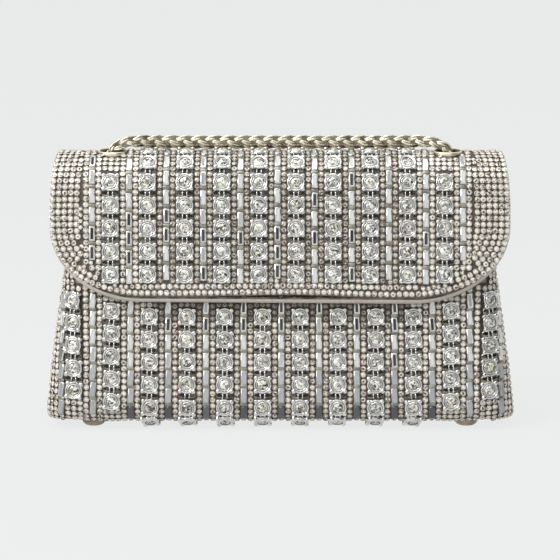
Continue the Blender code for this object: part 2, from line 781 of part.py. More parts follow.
def build_eyelets(gold, hinge):
    """Two eyelets through the flap's crest, each with a washer under the lining."""
    travel = FLAP_RADIUS * (math.pi / 2 + EYELET_TILT)
    point, normal, tangent = flap_frame(travel)
    barrel = EYELET_BORE_RADIUS + EYELET_WALL
    hollow = FLAP_RADIUS + FLAP_INSIDE
    washer_top = FLAP_INSIDE - GAP - (hollow - math.sqrt(hollow**2 - WASHER_RADIUS**2))
    barrel_end = washer_top - WASHER_THICKNESS - GAP
    flange_top = GAP + EYELET_FLANGE_THICKNESS
    ring = [
        (EYELET_BORE_RADIUS, barrel_end),
        (EYELET_BORE_RADIUS, flange_top - EYELET_WALL / 2),
        (EYELET_BORE_RADIUS + EYELET_WALL / 2, flange_top),
        (EYELET_FLANGE_RADIUS - EYELET_WALL / 2, flange_top),
        (EYELET_FLANGE_RADIUS, flange_top - EYELET_WALL / 2),
        (EYELET_FLANGE_RADIUS, GAP),
        (barrel, GAP),
        (barrel, barrel_end),
    ]
    washer = [
        (barrel + GAP, washer_top - WASHER_THICKNESS),
        (barrel + GAP, washer_top),
        (WASHER_RADIUS, washer_top),
        (WASHER_RADIUS, washer_top - WASHER_THICKNESS),
    ]
    for side, x in (("left", -EYELET_X), ("right", EYELET_X)):
        place = Vector((x, point.y, point.z)) - hinge.location
        cuts = (
            ("flap_crystal_mesh", EYELET_FLANGE_RADIUS + GAP),
            ("flap_shell", barrel + GAP),
            ("flap_board", barrel + GAP),
            ("flap_lining", barrel + GAP),
        )
        for sheet, radius in cuts:
            profile = rod(radius, FLAP_INSIDE - OVERRUN, MESH_TOP + OVERRUN)
            cutter = new_object("hole", turned("hole", profile), gold)
            cutter.parent = hinge
            stand_on(cutter, place, normal)
            carve(bpy.data.objects[sheet], cutter, "DIFFERENCE")
        for name, profile in ((f"eyelet_{side}", ring), (f"eyelet_washer_{side}", washer)):
            made = new_object(name, turned(name, profile), gold)
            made.parent = hinge
            stand_on(made, place, normal)


def build_snap(metal, hinge):
    """Magnetic snap: socket on the front panel, stud on the flap lining, a washer behind each."""
    point, normal, up = body_frame(0, SNAP_HEIGHT)
    shank = BODY_BOARD_TOP - BODY_BOARD
    hole = SNAP_SHANK_RADIUS + PIN_CLEARANCE
    socket = [
        (0, shank),
        (SNAP_SHANK_RADIUS, shank),
        (SNAP_SHANK_RADIUS, GAP),
        (SNAP_RADIUS, GAP),
        (SNAP_RADIUS, GAP + SOCKET_THICKNESS),
        (SOCKET_RECESS_RADIUS, GAP + SOCKET_THICKNESS),
        (SOCKET_RECESS_RADIUS, GAP + SOCKET_THICKNESS - SOCKET_RECESS_DEPTH),
        (0, GAP + SOCKET_THICKNESS - SOCKET_RECESS_DEPTH),
    ]
    made = new_object("magnet_socket", turned("magnet_socket", socket), metal)
    stand_on(made, point, normal)
    cutter = new_object("hole", turned("hole", rod(hole, -LEATHER - OVERRUN, OVERRUN)), metal)
    stand_on(cutter, point, normal)
    carve(bpy.data.objects["front_panel"], cutter, "DIFFERENCE")
    pocket = rod(SNAP_WASHER_RADIUS + GAP, BODY_BOARD_TOP - BODY_BOARD - OVERRUN, -LEATHER)
    cutter = new_object("hole", turned("hole", pocket), metal)
    stand_on(cutter, point, normal)
    carve(bpy.data.objects["front_stiffener"], cutter, "DIFFERENCE")
    back = -LEATHER - GAP
    washer = [
        (hole, back - BODY_BOARD),
        (hole, back),
        (SNAP_WASHER_RADIUS, back),
        (SNAP_WASHER_RADIUS, back - BODY_BOARD),
    ]
    made = new_object("magnet_socket_washer", turned("magnet_socket_washer", washer), metal)
    stand_on(made, point, normal)
    face = FLAP_CLEARANCE - GAP
    stud = [
        (0, face - STUD_THICKNESS - STUD_NUB_LENGTH),
        (STUD_NUB_RADIUS, face - STUD_THICKNESS - STUD_NUB_LENGTH),
        (STUD_NUB_RADIUS, face - STUD_THICKNESS),
        (SNAP_RADIUS, face - STUD_THICKNESS),
        (SNAP_RADIUS, face),
        (SNAP_SHANK_RADIUS, face),
        (SNAP_SHANK_RADIUS, FLAP_CLEARANCE + FLAP_LINING + GAP + FLAP_BOARD),
        (0, FLAP_CLEARANCE + FLAP_LINING + GAP + FLAP_BOARD),
    ]
    made = new_object("magnet_stud", turned("magnet_stud", stud), metal)
    made.parent = hinge
    stand_on(made, point - hinge.location, normal)
    board = FLAP_CLEARANCE + FLAP_LINING + GAP
    washer = [(hole, board), (hole, board + FLAP_BOARD)]
    washer += [(SNAP_WASHER_RADIUS, board + FLAP_BOARD), (SNAP_WASHER_RADIUS, board)]
    made = new_object("magnet_stud_washer", turned("magnet_stud_washer", washer), metal)
    made.parent = hinge
    stand_on(made, point - hinge.location, normal)
    for sheet, radius in (("flap_lining", hole), ("flap_board", SNAP_WASHER_RADIUS + GAP)):
        low = FLAP_CLEARANCE - OVERRUN if sheet == "flap_lining" else FLAP_CLEARANCE + FLAP_LINING
        high = board if sheet == "flap_lining" else board + FLAP_BOARD + GAP
        cutter = new_object("hole", turned("hole", rod(radius, low, high)), metal)
        cutter.parent = hinge
        stand_on(cutter, point - hinge.location, normal)
        carve(bpy.data.objects[sheet], cutter, "DIFFERENCE")


def build_rings(leather, gold, hinges):
    """A leather tab on each gusset, with a D-ring that swings in its eye."""
    inner_wall = body_at(3, RING_HEIGHT, BODY_INSIDE)
    eye = RING_WIRE_RADIUS + RING_CLEARANCE
    eye_outer = eye + TAB_EYE_WALL
    for side, way in (("left", -1), ("right", 1)):
        centre = hinges[side].location
        lean = body_at(3, RING_HEIGHT + TAB_LENGTH, BODY_INSIDE).x - inner_wall.x
        outline = []
        for k in range(9):
            angle = math.pi * (1 + k / 8)
            outline.append((-eye_outer * math.cos(angle), eye_outer * math.sin(angle)))
        outline = [(-x, z) for x, z in outline]
        outline += [(eye_outer + lean, TAB_LENGTH), (eye_outer + lean - TAB_THICKNESS, TAB_LENGTH)]
        outline += [(-eye_outer, eye_outer)]
        rings = []
        for y in (-TAB_WIDTH / 2, TAB_WIDTH / 2):
            rings.append([Vector((way * x, y, z)) for x, z in outline])
        name = f"ring_tab_{side}"
        tab = new_object(name, looped(name, rings, False), leather)
        tab.location = centre
        bore = turned("hole", rod(eye, -TAB_WIDTH, TAB_WIDTH), 12)
        cutter = new_object("hole", bore, leather)
        cutter.location = centre
        cutter.rotation_euler = (math.pi / 2, 0, 0)
        carve(tab, cutter, "DIFFERENCE")
        d_ring(f"d_ring_{side}", gold, hinges[side])


def d_ring(name, gold, axis):
    """A round-wire ring: a straight bar on the swing axis and a bow that hangs below it."""
    route = [(-RING_HALF_WIDTH, 0), (0, 0), (RING_HALF_WIDTH, 0)]
    bow = RING_BAR_TO_BOTTOM - RING_HALF_WIDTH
    for k in range(9):
        angle = k / 8 * math.pi
        route.append((RING_HALF_WIDTH * math.cos(angle), -bow - RING_HALF_WIDTH * math.sin(angle)))
    curve = bpy.data.curves.new(name, "CURVE")
    curve.dimensions = "3D"
    curve.bevel_depth = RING_WIRE_RADIUS
    curve.bevel_resolution = 2
    spline = curve.splines.new("POLY")
    spline.points.add(len(route) - 1)
    for point, (y, z) in zip(spline.points, route):
        point.co = (0, y, z, 1)
    spline.use_cyclic_u = True
    ring = bpy.data.objects.new(name, curve)
    bpy.context.scene.collection.objects.link(ring)
    curve.materials.append(gold)
    ring.parent = axis


# Strap

# The front strand from the left eyelet to the middle of the crest, and the back strand behind it
FRONT_STRAND = (
    (-0.0857, -0.0073, 0.1287),
    (-0.0856, -0.0077, 0.1337),
    (-0.0849, -0.0079, 0.1367),
    (-0.0832, -0.0080, 0.1395),
    (-0.0806, -0.0080, 0.1416),
    (-0.0772, -0.0076, 0.1430),
    (-0.0730, -0.0066, 0.1437),
    (-0.0685, -0.0051, 0.1439),
    (-0.0650, -0.0039, 0.1437),
    (-0.0610, -0.0031, 0.1435),
    (-0.0560, -0.0030, 0.1435),
    (-0.0440, -0.0030, 0.1434),
    (-0.0320, -0.0032, 0.1435),
    (-0.0200, -0.0030, 0.1434),
    (-0.0100, -0.0029, 0.1435),
    (0.0000, -0.0030, 0.1434),
)
BACK_STRAND = (
    (-0.0857, -0.0020, 0.1291),
    (-0.0856, -0.0023, 0.1341),
    (-0.0849, -0.0025, 0.1371),
    (-0.0832, -0.0026, 0.1397),
    (-0.0807, -0.0023, 0.1414),
    (-0.0773, -0.0015, 0.1423),
    (-0.0734, -0.0001, 0.1424),
    (-0.0694, 0.0013, 0.1421),
    (-0.0655, 0.0021, 0.1416),
    (-0.0610, 0.0022, 0.1413),
    (-0.0560, 0.0023, 0.1414),
    (-0.0440, 0.0023, 0.1413),
    (-0.0320, 0.0022, 0.1413),
    (-0.0200, 0.0023, 0.1413),
    (-0.0100, 0.0023, 0.1413),
    (0.0000, 0.0022, 0.1413),
)
# Inside the bag: each end hangs in a loop from its D-ring, and the bight lies across the floor
LEFT_END = (
    (-0.0986, 0.0000, 0.0872),
    (-0.0988, 0.0000, 0.0720),
    (-0.0999, 0.0002, 0.0570),
    (-0.1010, 0.0005, 0.0430),
    (-0.0997, 0.0006, 0.0380),
    (-0.0960, 0.0007, 0.0343),
    (-0.0910, 0.0006, 0.0330),
    (-0.0860, 0.0004, 0.0343),
    (-0.0823, 0.0002, 0.0380),
    (-0.0810, 0.0000, 0.0430),
    (-0.0816, -0.0005, 0.0570),
    (-0.0832, -0.0015, 0.0750),
    (-0.0848, -0.0030, 0.0950),
    (-0.0856, -0.0058, 0.1135),
    (-0.0857, -0.0069, 0.1230),
    (-0.0857, -0.0073, 0.1284),
)
RIGHT_END = (
    (0.0986, 0.0000, 0.0872),
    (0.0988, 0.0000, 0.0720),
    (0.0999, 0.0002, 0.0570),
    (0.1010, 0.0005, 0.0430),
    (0.0997, 0.0006, 0.0380),
    (0.0960, 0.0007, 0.0343),
    (0.0910, 0.0008, 0.0330),
    (0.0860, 0.0009, 0.0343),
    (0.0823, 0.0010, 0.0380),
    (0.0810, 0.0010, 0.0430),
    (0.0816, 0.0012, 0.0570),
    (0.0834, 0.0015, 0.0750),
    (0.0851, 0.0012, 0.0950),
    (0.0858, -0.0004, 0.1135),
    (0.0857, -0.0016, 0.1240),
    (0.0857, -0.0020, 0.1288),
)
BIGHT = (
    (0.0857, -0.0073, 0.1284),
    (0.0857, -0.0069, 0.1230),
    (0.0853, -0.0061, 0.1130),
    (0.0835, -0.0062, 0.0990),
    (0.0805, -0.0083, 0.0780),
    (0.0765, -0.0108, 0.0540),
    (0.0720, -0.0126, 0.0330),
    (0.0680, -0.0132, 0.0220),
    (0.0600, -0.0131, 0.0128),
    (0.0480, -0.0113, 0.0108),
    (0.0320, -0.0080, 0.0107),
    (0.0160, -0.0042, 0.0107),
    (0.0000, 0.0000, 0.0107),
    (-0.0160, 0.0042, 0.0107),
    (-0.0320, 0.0080, 0.0107),
    (-0.0480, 0.0111, 0.0108),
    (-0.0600, 0.0126, 0.0128),
    (-0.0680, 0.0128, 0.0220),
    (-0.0720, 0.0122, 0.0330),
    (-0.0770, 0.0102, 0.0540),
    (-0.0815, 0.0072, 0.0780),
    (-0.0848, 0.0038, 0.0990),
    (-0.0857, 0.0006, 0.1130),
    (-0.0857, -0.0014, 0.1240),
    (-0.0857, -0.0020, 0.1288),
)


def mirrored(half):
    """A route from the left eyelet to the middle, carried on to the right eyelet."""
    return half + tuple((-x, y, z) for x, y, z in reversed(half[:-1]))


def smooth_route(route):
    """Points on a smooth curve through the route's own points, no more than a step apart."""
    points = [Vector(p) for p in route]
    ends = [points[0] * 2 - points[1], *points, points[-1] * 2 - points[-2]]
    smooth = []
    for a, b, c, d in zip(ends, ends[1:], ends[2:], ends[3:]):
        pieces = max(1, round((c - b).length / STRAP_STEP))
        for k in range(pieces):
            t = k / pieces
            bend = 2 * a - 5 * b + 4 * c - d
            twist = 3 * b - a - 3 * c + d
            smooth.append(b + ((c - a) * t + bend * t**2 + twist * t**3) / 2)
    return [*smooth, points[-1]]


def strand(name, route, finish, parent=None):
    """One run of the strap, as a round tube with closed ends."""
    curve = bpy.data.curves.new(name, "CURVE")
    curve.dimensions = "3D"
    curve.bevel_depth = STRAP_RADIUS
    curve.bevel_resolution = 2
    curve.use_fill_caps = True
    points = smooth_route(route)
    spline = curve.splines.new("POLY")
    spline.points.add(len(points) - 1)
    origin = parent.location if parent else Vector()
    for point, place in zip(spline.points, points):
        point.co = (*(place - origin), 1)
    made = bpy.data.objects.new(name, curve)
    bpy.context.scene.collection.objects.link(made)
    curve.materials.append(finish)
    made.parent = parent


def build_strap(gold, hinge):
    """Two runs over the crest, which move with the flap, and three runs inside the bag."""
    strand("strap_top_front", mirrored(FRONT_STRAND), gold, hinge)
    strand("strap_top_back", mirrored(BACK_STRAND), gold, hinge)
    strand("strap_end_left", LEFT_END, gold)
    strand("strap_end_right", RIGHT_END, gold)
    strand("strap_bight", BIGHT, gold)


def empty(name, location):
    """A guide that marks a joint axis."""
    made = bpy.data.objects.new(name, None)
    made.location = location
    bpy.context.scene.collection.objects.link(made)
    return made


def main():
    """Clears the scene and builds the bag."""
    for old in list(bpy.data.objects):
        bpy.data.objects.remove(old)
    leather = material("champagne_leather", (0.60, 0.54, 0.46), 0.45, 0)
    taupe = material("taupe_leather", (0.42, 0.37, 0.33), 0.5, 0)
    cloth = material("lining_cloth", (0.50, 0.45, 0.40), 0.8, 0)
    board = material("board", (0.45, 0.36, 0.26), 0.9, 0)
    mesh_finish = material("crystal_mesh", (0.78, 0.73, 0.66), 0.25, 0.6)
    silver = material("silver_setting", (0.86, 0.87, 0.86), 0.15, 0.9)
    gold = material("pale_gold", (0.80, 0.72, 0.55), 0.25, 1)
    pewter = material("antique_metal", (0.45, 0.38, 0.28), 0.35, 1)
    hinge = empty("flap_hinge_axis", (0, HINGE_HALF_DEPTH + HINGE_OFFSET, HINGE_HEIGHT))
    build_panels(leather)
    build_boards(board)
    build_lining(cloth)
    build_mouth_binding(taupe)
    build_feet(pewter)
    build_flap(taupe, board, cloth, hinge)
    build_flap_binding(taupe, hinge)
    build_flap_mesh(mesh_finish, hinge)
    build_body_mesh(mesh_finish)
    build_crystal_chains(silver, hinge)
    build_eyelets(gold, hinge)
    build_snap(pewter, hinge)
    wall_x = body_at(3, RING_HEIGHT, BODY_INSIDE).x
    axis_x = wall_x - GAP - RING_WIRE_RADIUS - RING_CLEARANCE - TAB_EYE_WALL
    swings = {}
    for side, way in (("left", -1), ("right", 1)):
        swings[side] = empty(f"d_ring_{side}_axis", (way * axis_x, 0, RING_HEIGHT))
    build_rings(taupe, gold, swings)
    build_strap(gold, hinge)


main()
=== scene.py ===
"""Dresses a crystal-covered shoulder bag in stones, metal, leather and cloth, in a small studio.

Metres, +Z up, and the bag's front faces -Y. A spot is a place on the leather with three axes:
across, along and out of the surface. A level is a height above the leather.
"""

import json
import math
from functools import partial

import bmesh
import bpy
import numpy as np
from bpy.props import FloatProperty, FloatVectorProperty, PointerProperty
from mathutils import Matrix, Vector


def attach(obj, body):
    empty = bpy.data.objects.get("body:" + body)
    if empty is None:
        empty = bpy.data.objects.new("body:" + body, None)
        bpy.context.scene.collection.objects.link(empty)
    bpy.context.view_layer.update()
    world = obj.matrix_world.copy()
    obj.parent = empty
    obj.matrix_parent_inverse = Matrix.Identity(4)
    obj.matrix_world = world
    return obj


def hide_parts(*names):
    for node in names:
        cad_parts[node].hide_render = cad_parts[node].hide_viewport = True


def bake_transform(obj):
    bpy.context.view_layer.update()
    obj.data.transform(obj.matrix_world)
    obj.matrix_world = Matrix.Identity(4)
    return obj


bl_info = {
    "name": "Crystal Shoulder Bag",
    "version": (1, 0, 0),
    "blender": (4, 5, 0),
    "location": "3D View > Sidebar > Bag",
    "description": "Dresses a shoulder bag in crystals, leather and chain, with a studio round it",
    "category": "Object",
}

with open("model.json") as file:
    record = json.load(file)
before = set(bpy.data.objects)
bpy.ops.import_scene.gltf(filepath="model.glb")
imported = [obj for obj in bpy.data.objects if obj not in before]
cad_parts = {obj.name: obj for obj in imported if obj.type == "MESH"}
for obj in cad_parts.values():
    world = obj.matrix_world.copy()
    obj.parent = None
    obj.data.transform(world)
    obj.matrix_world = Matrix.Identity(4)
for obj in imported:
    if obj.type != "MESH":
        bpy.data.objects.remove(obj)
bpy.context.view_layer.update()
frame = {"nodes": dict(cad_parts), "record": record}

# Body outline
BOTTOM_HALF_WIDTH = 0.1178
HINGE_HALF_WIDTH = 0.1019
BOTTOM_HALF_DEPTH = 0.030
HINGE_HALF_DEPTH = 0.0145
BOTTOM_CORNER = 0.014
HINGE_CORNER = 0.010
EDGE_FILLET = 0.012
SIDE_FILLET = 0.005
FOOT_HEIGHT = 0.004
HINGE_HEIGHT = 0.1185
GAP = 0.0003
LEATHER = 0.0010
BODY_INSIDE = -0.0039
LINING_THICKNESS = 0.0008
BINDING_WALL = 0.0006
BINDING_HEIGHT = 0.0045
MOUTH_HEIGHT = HINGE_HEIGHT - GAP - BINDING_WALL
SIDE_SWELL = 0.0009
SEAM_TURN = 2.22
PIPING_TURN = 2.06
PIPING_RADIUS = 0.0007
PIPING_ENDS = (0.1135, 0.0052)

# Flap outline
FLAP_RADIUS = 0.018449
FLAP_CENTRE_Y = HINGE_HALF_DEPTH - FLAP_RADIUS
FLAP_DROP = 0.0534
FLAP_SEAM_HALF_WIDTH = 0.1030
FLAP_HALF_WIDTH = 0.1120
FLAP_WIDEN_LENGTH = 0.069
FLAP_CORNER_WIDTH = 0.043
FLAP_CORNER_HEIGHT = 0.035
FLAP_INSIDE = -0.0030
FLAP_EDGE_WIDTH = 0.0022
FLAP_LINING = 0.0006
FLAP_STITCH_INSET = 0.0026
HINGE_HALF_LENGTH = 0.0985
HINGE_THICKNESS = 0.0006
BEADING_LEVEL = 0.0010
PAINT_LEVEL = 0.0008
PAINT_OUT = 0.0004
PAINT_RADIUS = 0.00045

LEAN = (BOTTOM_HALF_DEPTH - HINGE_HALF_DEPTH) / (HINGE_HEIGHT - FOOT_HEIGHT)
FLARE = (BOTTOM_HALF_WIDTH - HINGE_HALF_WIDTH) / (HINGE_HEIGHT - FOOT_HEIGHT)
CORNER_GROWTH = (BOTTOM_CORNER - HINGE_CORNER) / (HINGE_HEIGHT - FOOT_HEIGHT)
FLAP_ARC_ANGLE = math.pi - math.atan(LEAN)
FLAP_ARC = FLAP_RADIUS * FLAP_ARC_ANGLE
FLAP_LENGTH = FLAP_ARC + FLAP_DROP

# Crystal pattern: levels above the leather, tilts in radians, distances from a column's middle
DATUM = 0.0015
SQUARE_LEVEL = 0.0018
LINK_LEVEL = 0.0022
FLAP_COLUMN_PITCH = 0.0184
FLAP_PATTERN_SHIFT = -0.0012
FLAP_SQUARE_PITCH = 0.01145
FLAP_SIDE_ROW_PITCH = 0.0030
BODY_COLUMN_PITCH = 0.018842
BODY_PATTERN_SHIFT = 0.0007
BODY_SQUARE_PITCH = 0.01135
FLAP_COLUMNS = 10
BODY_COLUMNS = 12
FLAP_BAR_PITCH = 0.0094
BAR_STAGGER = 0.0026
BODY_BAR_PITCH = 0.0089
SQUARE = 0.0088
LINK_REACH = 0.0036
BED_TOP = 0.0009
BED_THICKNESS = 0.0006
BED_INSET = 0.0010
BED_START = 0.004
BED_HOLE = 0.0079
STONE_LEVEL = 0.0008
STONE_TILT = 0.05
BAR_TILT = 0.035
FIRST_SQUARE_ANGLE = math.radians(9)
LOWEST_BAR = 0.0101
EDGE_OVERLAP = 0.0009
FLAP_MESH_START = 0.0052
FLAP_LOWEST_ROW = 0.0020
UNDER_SQUARE = 0.00295
FLAP_BESIDE_SQUARE = 0.00602
BODY_BESIDE_SQUARE = 0.00605
BESIDE_BAR = 0.0030
BODY_EDGE_BAR = 0.0062
OUTER_STONES = (0.0093, 0.0122, 0.0151)
UPPER_STONES = (0.0004, 0.0034, 0.0064)
PLAIN_BAR_TOP = 0.030
SQUARE_TOPS = (0.0650, 0.0600, 0.0570)
BAR_TOP = 0.0620
OUTER_BAR_TOP = 0.0650
EDGE_BAR_TOP = 0.0640
FIRST_STONE = 0.0013
STONE_CLEARANCE = 0.0015
SQUARE_TILT = 0.03
LINK_LIFT = 0.0001

# Fittings
EYELET_X = 0.0840
EYELET_TILT = math.radians(4)
EYELET_BORE = 0.0061
EYELET_FLANGE = 0.0076
EYELET_HOLE = 0.0069
EYELET_LOW = -0.0066
EYELET_WALL = 0.0005
EYELET_ROLL = 0.0010
FOOT_X = 0.0943
FOOT_Y = 0.0145
SOLE_RADIUS = 0.0024
DOME_SPREAD = 0.0036
DOME_RISE = 0.0031
SHANK_RADIUS = 0.0012
SHANK_TOP = 0.0068
RING_X = 0.098662
RING_HEIGHT = 0.0960
RING_RADIUS = 0.005
RING_WIRE = 0.0010
END_LINK_HEIGHT = 0.0886
END_LINK_HALF_WIDTH = 0.0014
END_LINK_HALF_LENGTH = 0.0018
END_LINK_WIRE = 0.00035
TAB_ROWS = (-0.0035, -0.0032, 0.0, 0.0032, 0.0035)
TAB_HALF_THICKNESS = 0.0004
TAB_FOLD = 0.00175
TAB_STITCH_HEIGHTS = (0.0062, 0.0088, 0.0112)
TAB_STITCH_Y = 0.0026
CHAIN_STEP = 0.00075
# Sizes of the plait's dark core, which is painted shade inside the plait.
PAINTED_SHADE_CORE_THICKNESS = 1.5
PAINTED_SHADE_CORE_WIDTH = 1.9
RING_BLEND = (0.060, 0.0865)
FLAP_BLEND = (0.090, 0.1270)
STITCH_PITCH = 0.0031
STITCH_LEVEL = 0.0001

# Ends of the crystal meshes, as heights and as turns round the body
BODY_MESH_TOP = 0.0735
BODY_MESH_BOTTOM = 0.0058
BACK_MESH_TOP = MOUTH_HEIGHT - 0.0060
SIDE_STONES_TOP = 0.0900
MESH_MARGIN = 0.0008
BED_TURN = 1.94
FACE_LIMIT = 1.95
BACK_STONE_LIMIT = 1.955
FRONT_STONE_LIMIT = 1.97
SIDE_LIMIT = 2.4

# Each side with its sign, and each face with whether it is the back
SIDES = ((-1, "left"), (1, "right"))
FACES = ((False, "front"), (True, "back"))

# Centrelines of the strap
FRONT_STRAND = (
    (-0.0857, -0.0073, 0.1287),
    (-0.0856, -0.0077, 0.1337),
    (-0.0849, -0.0079, 0.1367),
    (-0.0832, -0.0080, 0.1395),
    (-0.0806, -0.0080, 0.1416),
    (-0.0772, -0.0076, 0.1430),
    (-0.0730, -0.0066, 0.1437),
    (-0.0685, -0.0051, 0.1439),
    (-0.0650, -0.0039, 0.1437),
    (-0.0610, -0.0031, 0.1435),
    (-0.0560, -0.0030, 0.1435),
    (-0.0440, -0.0030, 0.1434),
    (-0.0320, -0.0032, 0.1435),
    (-0.0200, -0.0030, 0.1434),
    (-0.0100, -0.0029, 0.1435),
    (0.0000, -0.0030, 0.1434),
)
BACK_STRAND = (
    (-0.0857, -0.0020, 0.1291),
    (-0.0856, -0.0023, 0.1341),
    (-0.0849, -0.0025, 0.1371),
    (-0.0832, -0.0026, 0.1397),
    (-0.0807, -0.0023, 0.1414),
    (-0.0773, -0.0015, 0.1423),
    (-0.0734, -0.0001, 0.1424),
    (-0.0694, 0.0013, 0.1421),
    (-0.0655, 0.0021, 0.1416),
    (-0.0610, 0.0022, 0.1413),
    (-0.0560, 0.0023, 0.1414),
    (-0.0440, 0.0023, 0.1413),
    (-0.0320, 0.0022, 0.1413),
    (-0.0200, 0.0023, 0.1413),
    (-0.0100, 0.0023, 0.1413),
    (0.0000, 0.0022, 0.1413),
)
LEFT_DROP = (
    (-0.0986, 0.0000, 0.0872),
    (-0.0988, 0.0000, 0.0720),
    (-0.0999, 0.0002, 0.0570),
    (-0.1010, 0.0005, 0.0430),
    (-0.0997, 0.0006, 0.0380),
    (-0.0960, 0.0007, 0.0343),
    (-0.0910, 0.0006, 0.0330),
)
LEFT_RISE = (
    (-0.0910, 0.0006, 0.0330),
    (-0.0860, 0.0004, 0.0343),
    (-0.0823, 0.0002, 0.0380),
    (-0.0810, 0.0000, 0.0430),
    (-0.0816, -0.0005, 0.0570),
    (-0.0832, -0.0015, 0.0750),
    (-0.0848, -0.0030, 0.0950),
    (-0.0856, -0.0058, 0.1135),
    (-0.0857, -0.0069, 0.1230),
    (-0.0857, -0.0073, 0.1284),
)
RIGHT_DROP = (
    (0.0986, 0.0000, 0.0872),
    (0.0988, 0.0000, 0.0720),
    (0.0999, 0.0002, 0.0570),
    (0.1010, 0.0005, 0.0430),
    (0.0997, 0.0006, 0.0380),
    (0.0960, 0.0007, 0.0343),
    (0.0910, 0.0008, 0.0330),
)
RIGHT_RISE = (
    (0.0910, 0.0008, 0.0330),
    (0.0860, 0.0009, 0.0343),
    (0.0823, 0.0010, 0.0380),
    (0.0810, 0.0010, 0.0430),
    (0.0816, 0.0012, 0.0570),
    (0.0834, 0.0015, 0.0750),
    (0.0851, 0.0012, 0.0950),
    (0.0858, -0.0004, 0.1135),
    (0.0857, -0.0016, 0.1240),
    (0.0857, -0.0020, 0.1288),
)
BIGHT = (
    (0.0857, -0.0073, 0.1284),
    (0.0857, -0.0069, 0.1230),
    (0.0853, -0.0061, 0.1130),
    (0.0835, -0.0062, 0.0990),
    (0.0805, -0.0083, 0.0780),
    (0.0765, -0.0108, 0.0540),
    (0.0720, -0.0126, 0.0330),
    (0.0680, -0.0132, 0.0220),
    (0.0600, -0.0131, 0.0128),
    (0.0480, -0.0113, 0.0108),
    (0.0320, -0.0080, 0.0107),
    (0.0160, -0.0042, 0.0107),
    (0.0000, 0.0000, 0.0107),
    (-0.0160, 0.0042, 0.0107),
    (-0.0320, 0.0080, 0.0107),
    (-0.0480, 0.0111, 0.0108),
    (-0.0600, 0.0126, 0.0128),
    (-0.0680, 0.0128, 0.0220),
    (-0.0720, 0.0122, 0.0330),
    (-0.0770, 0.0102, 0.0540),
    (-0.0815, 0.0072, 0.0780),
    (-0.0848, 0.0038, 0.0990),
    (-0.0857, 0.0006, 0.1130),
    (-0.0857, -0.0014, 0.1240),
    (-0.0857, -0.0020, 0.1288),
)


# Values a user can change


def length(name, text, value):
    """A length shown in the scene's unit."""
    return FloatProperty(name=name, description=text, default=value, unit="LENGTH", precision=5)


def colour(name, text, value):
    """A colour picked from a wheel."""
    return FloatVectorProperty(
        name=name, description=text, default=value, subtype="COLOR", size=3, min=0, max=1
    )


def strength(name, text, value):
    """A plain number for a light."""
    return FloatProperty(name=name, description=text, default=value)


class BAG_PG_crystals(bpy.types.PropertyGroup):
    """Sizes and colours of the stones and their metal."""

    stone_pitch: length("Stone pitch", "Distance between the small round stones", 0.00312)
    stone_radius: length("Stone radius", "Radius of a small stone's metal cup", 0.00145)
    stone_rise: length("Stone rise", "Height of a small stone above its bed", 0.00115)
    bar_width: length("Bar width", "Width of a mirror bar with its frame", 0.0031)
    bar_length: length("Bar length", "Length of a mirror bar with its frame", 0.0073)
    # The lit and dark facet colours are painted bright and dark reflections on the stones.
    champagne_painted_bright: colour("Stone, lit", "Bright facets of the small stones", (1.0, 0.95, 0.86))
    champagne_painted_dark: colour("Stone, dark", "Dark facets of the small stones", (0.09, 0.072, 0.055))
    clear_painted_bright: colour("Clear, lit", "Bright facets of the large stones", (1.0, 1.0, 0.95))
    clear_painted_dark: colour("Clear, dark", "Dark facets of the large stones", (0.05, 0.05, 0.045))
    silver: colour("Silver", "Square settings and bar frames", (0.74, 0.73, 0.705))
    # The bed's own cloth colour, darkened as painted shade between the stones.
    bed: colour("Bed", "Cloth and metal between the stones", (0.12, 0.098, 0.08))


class BAG_PG_leather(bpy.types.PropertyGroup):
    """Colours of leather and cloth."""

    champagne: colour("Champagne leather", "Body of the bag", (0.43, 0.37, 0.30))
    taupe: colour("Taupe leather", "Flap, edges and tabs", (0.37, 0.351, 0.312))
    lining: colour("Lining", "Woven lining", (0.36, 0.31, 0.26))
    thread: colour("Thread", "Stitches", (0.50, 0.45, 0.38))


class BAG_PG_chain(bpy.types.PropertyGroup):
    """Sizes and colour of the plaited strap."""

    wire_radius: length("Wire radius", "Radius of one wire of the plait", 0.00056)
    bump_pitch: length("Bump pitch", "Distance between the bumps along the plait's edge", 0.0073)
    side_reach: length("Side reach", "How far a strand swings to each side", 0.00160)
    lift_reach: length("Lift reach", "How far a strand rises where it crosses another", 0.00078)
    pair_gap: length("Pair gap", "Distance between the two wires of a strand", 0.00135)
    gold: colour("Pale gold", "Strap, rings and eyelets", (0.87, 0.81, 0.645))


class BAG_PG_studio(bpy.types.PropertyGroup):
    """Light and background."""

    backdrop: colour("Backdrop", "Colour of the floor and behind the bag", (0.850, 0.859, 0.858))
    key_power: strength("Key light", "Power of the large front light", 15.6)
    top_power: strength("Top light", "Power of the light overhead", 5.5)
    fill: strength("Fill", "Strength of the light from all round", 0.5)


# Surface of the body


def fillet(rise, radius):
    """How far a rounded bottom edge draws in at a height above the base."""
    if rise >= radius:
        return 0
    return radius - math.sqrt(radius**2 - (radius - rise) ** 2)


def body_section(z):
    """Half-width, half-depth and corner radius of the body at a height."""
    below = HINGE_HEIGHT - z
    rise = max(z - FOOT_HEIGHT, 0)
    half_width = HINGE_HALF_WIDTH + below * FLARE - fillet(rise, SIDE_FILLET)
    half_depth = HINGE_HALF_DEPTH + below * LEAN - fillet(rise, EDGE_FILLET)
    return half_width, half_depth, HINGE_CORNER + below * CORNER_GROWTH


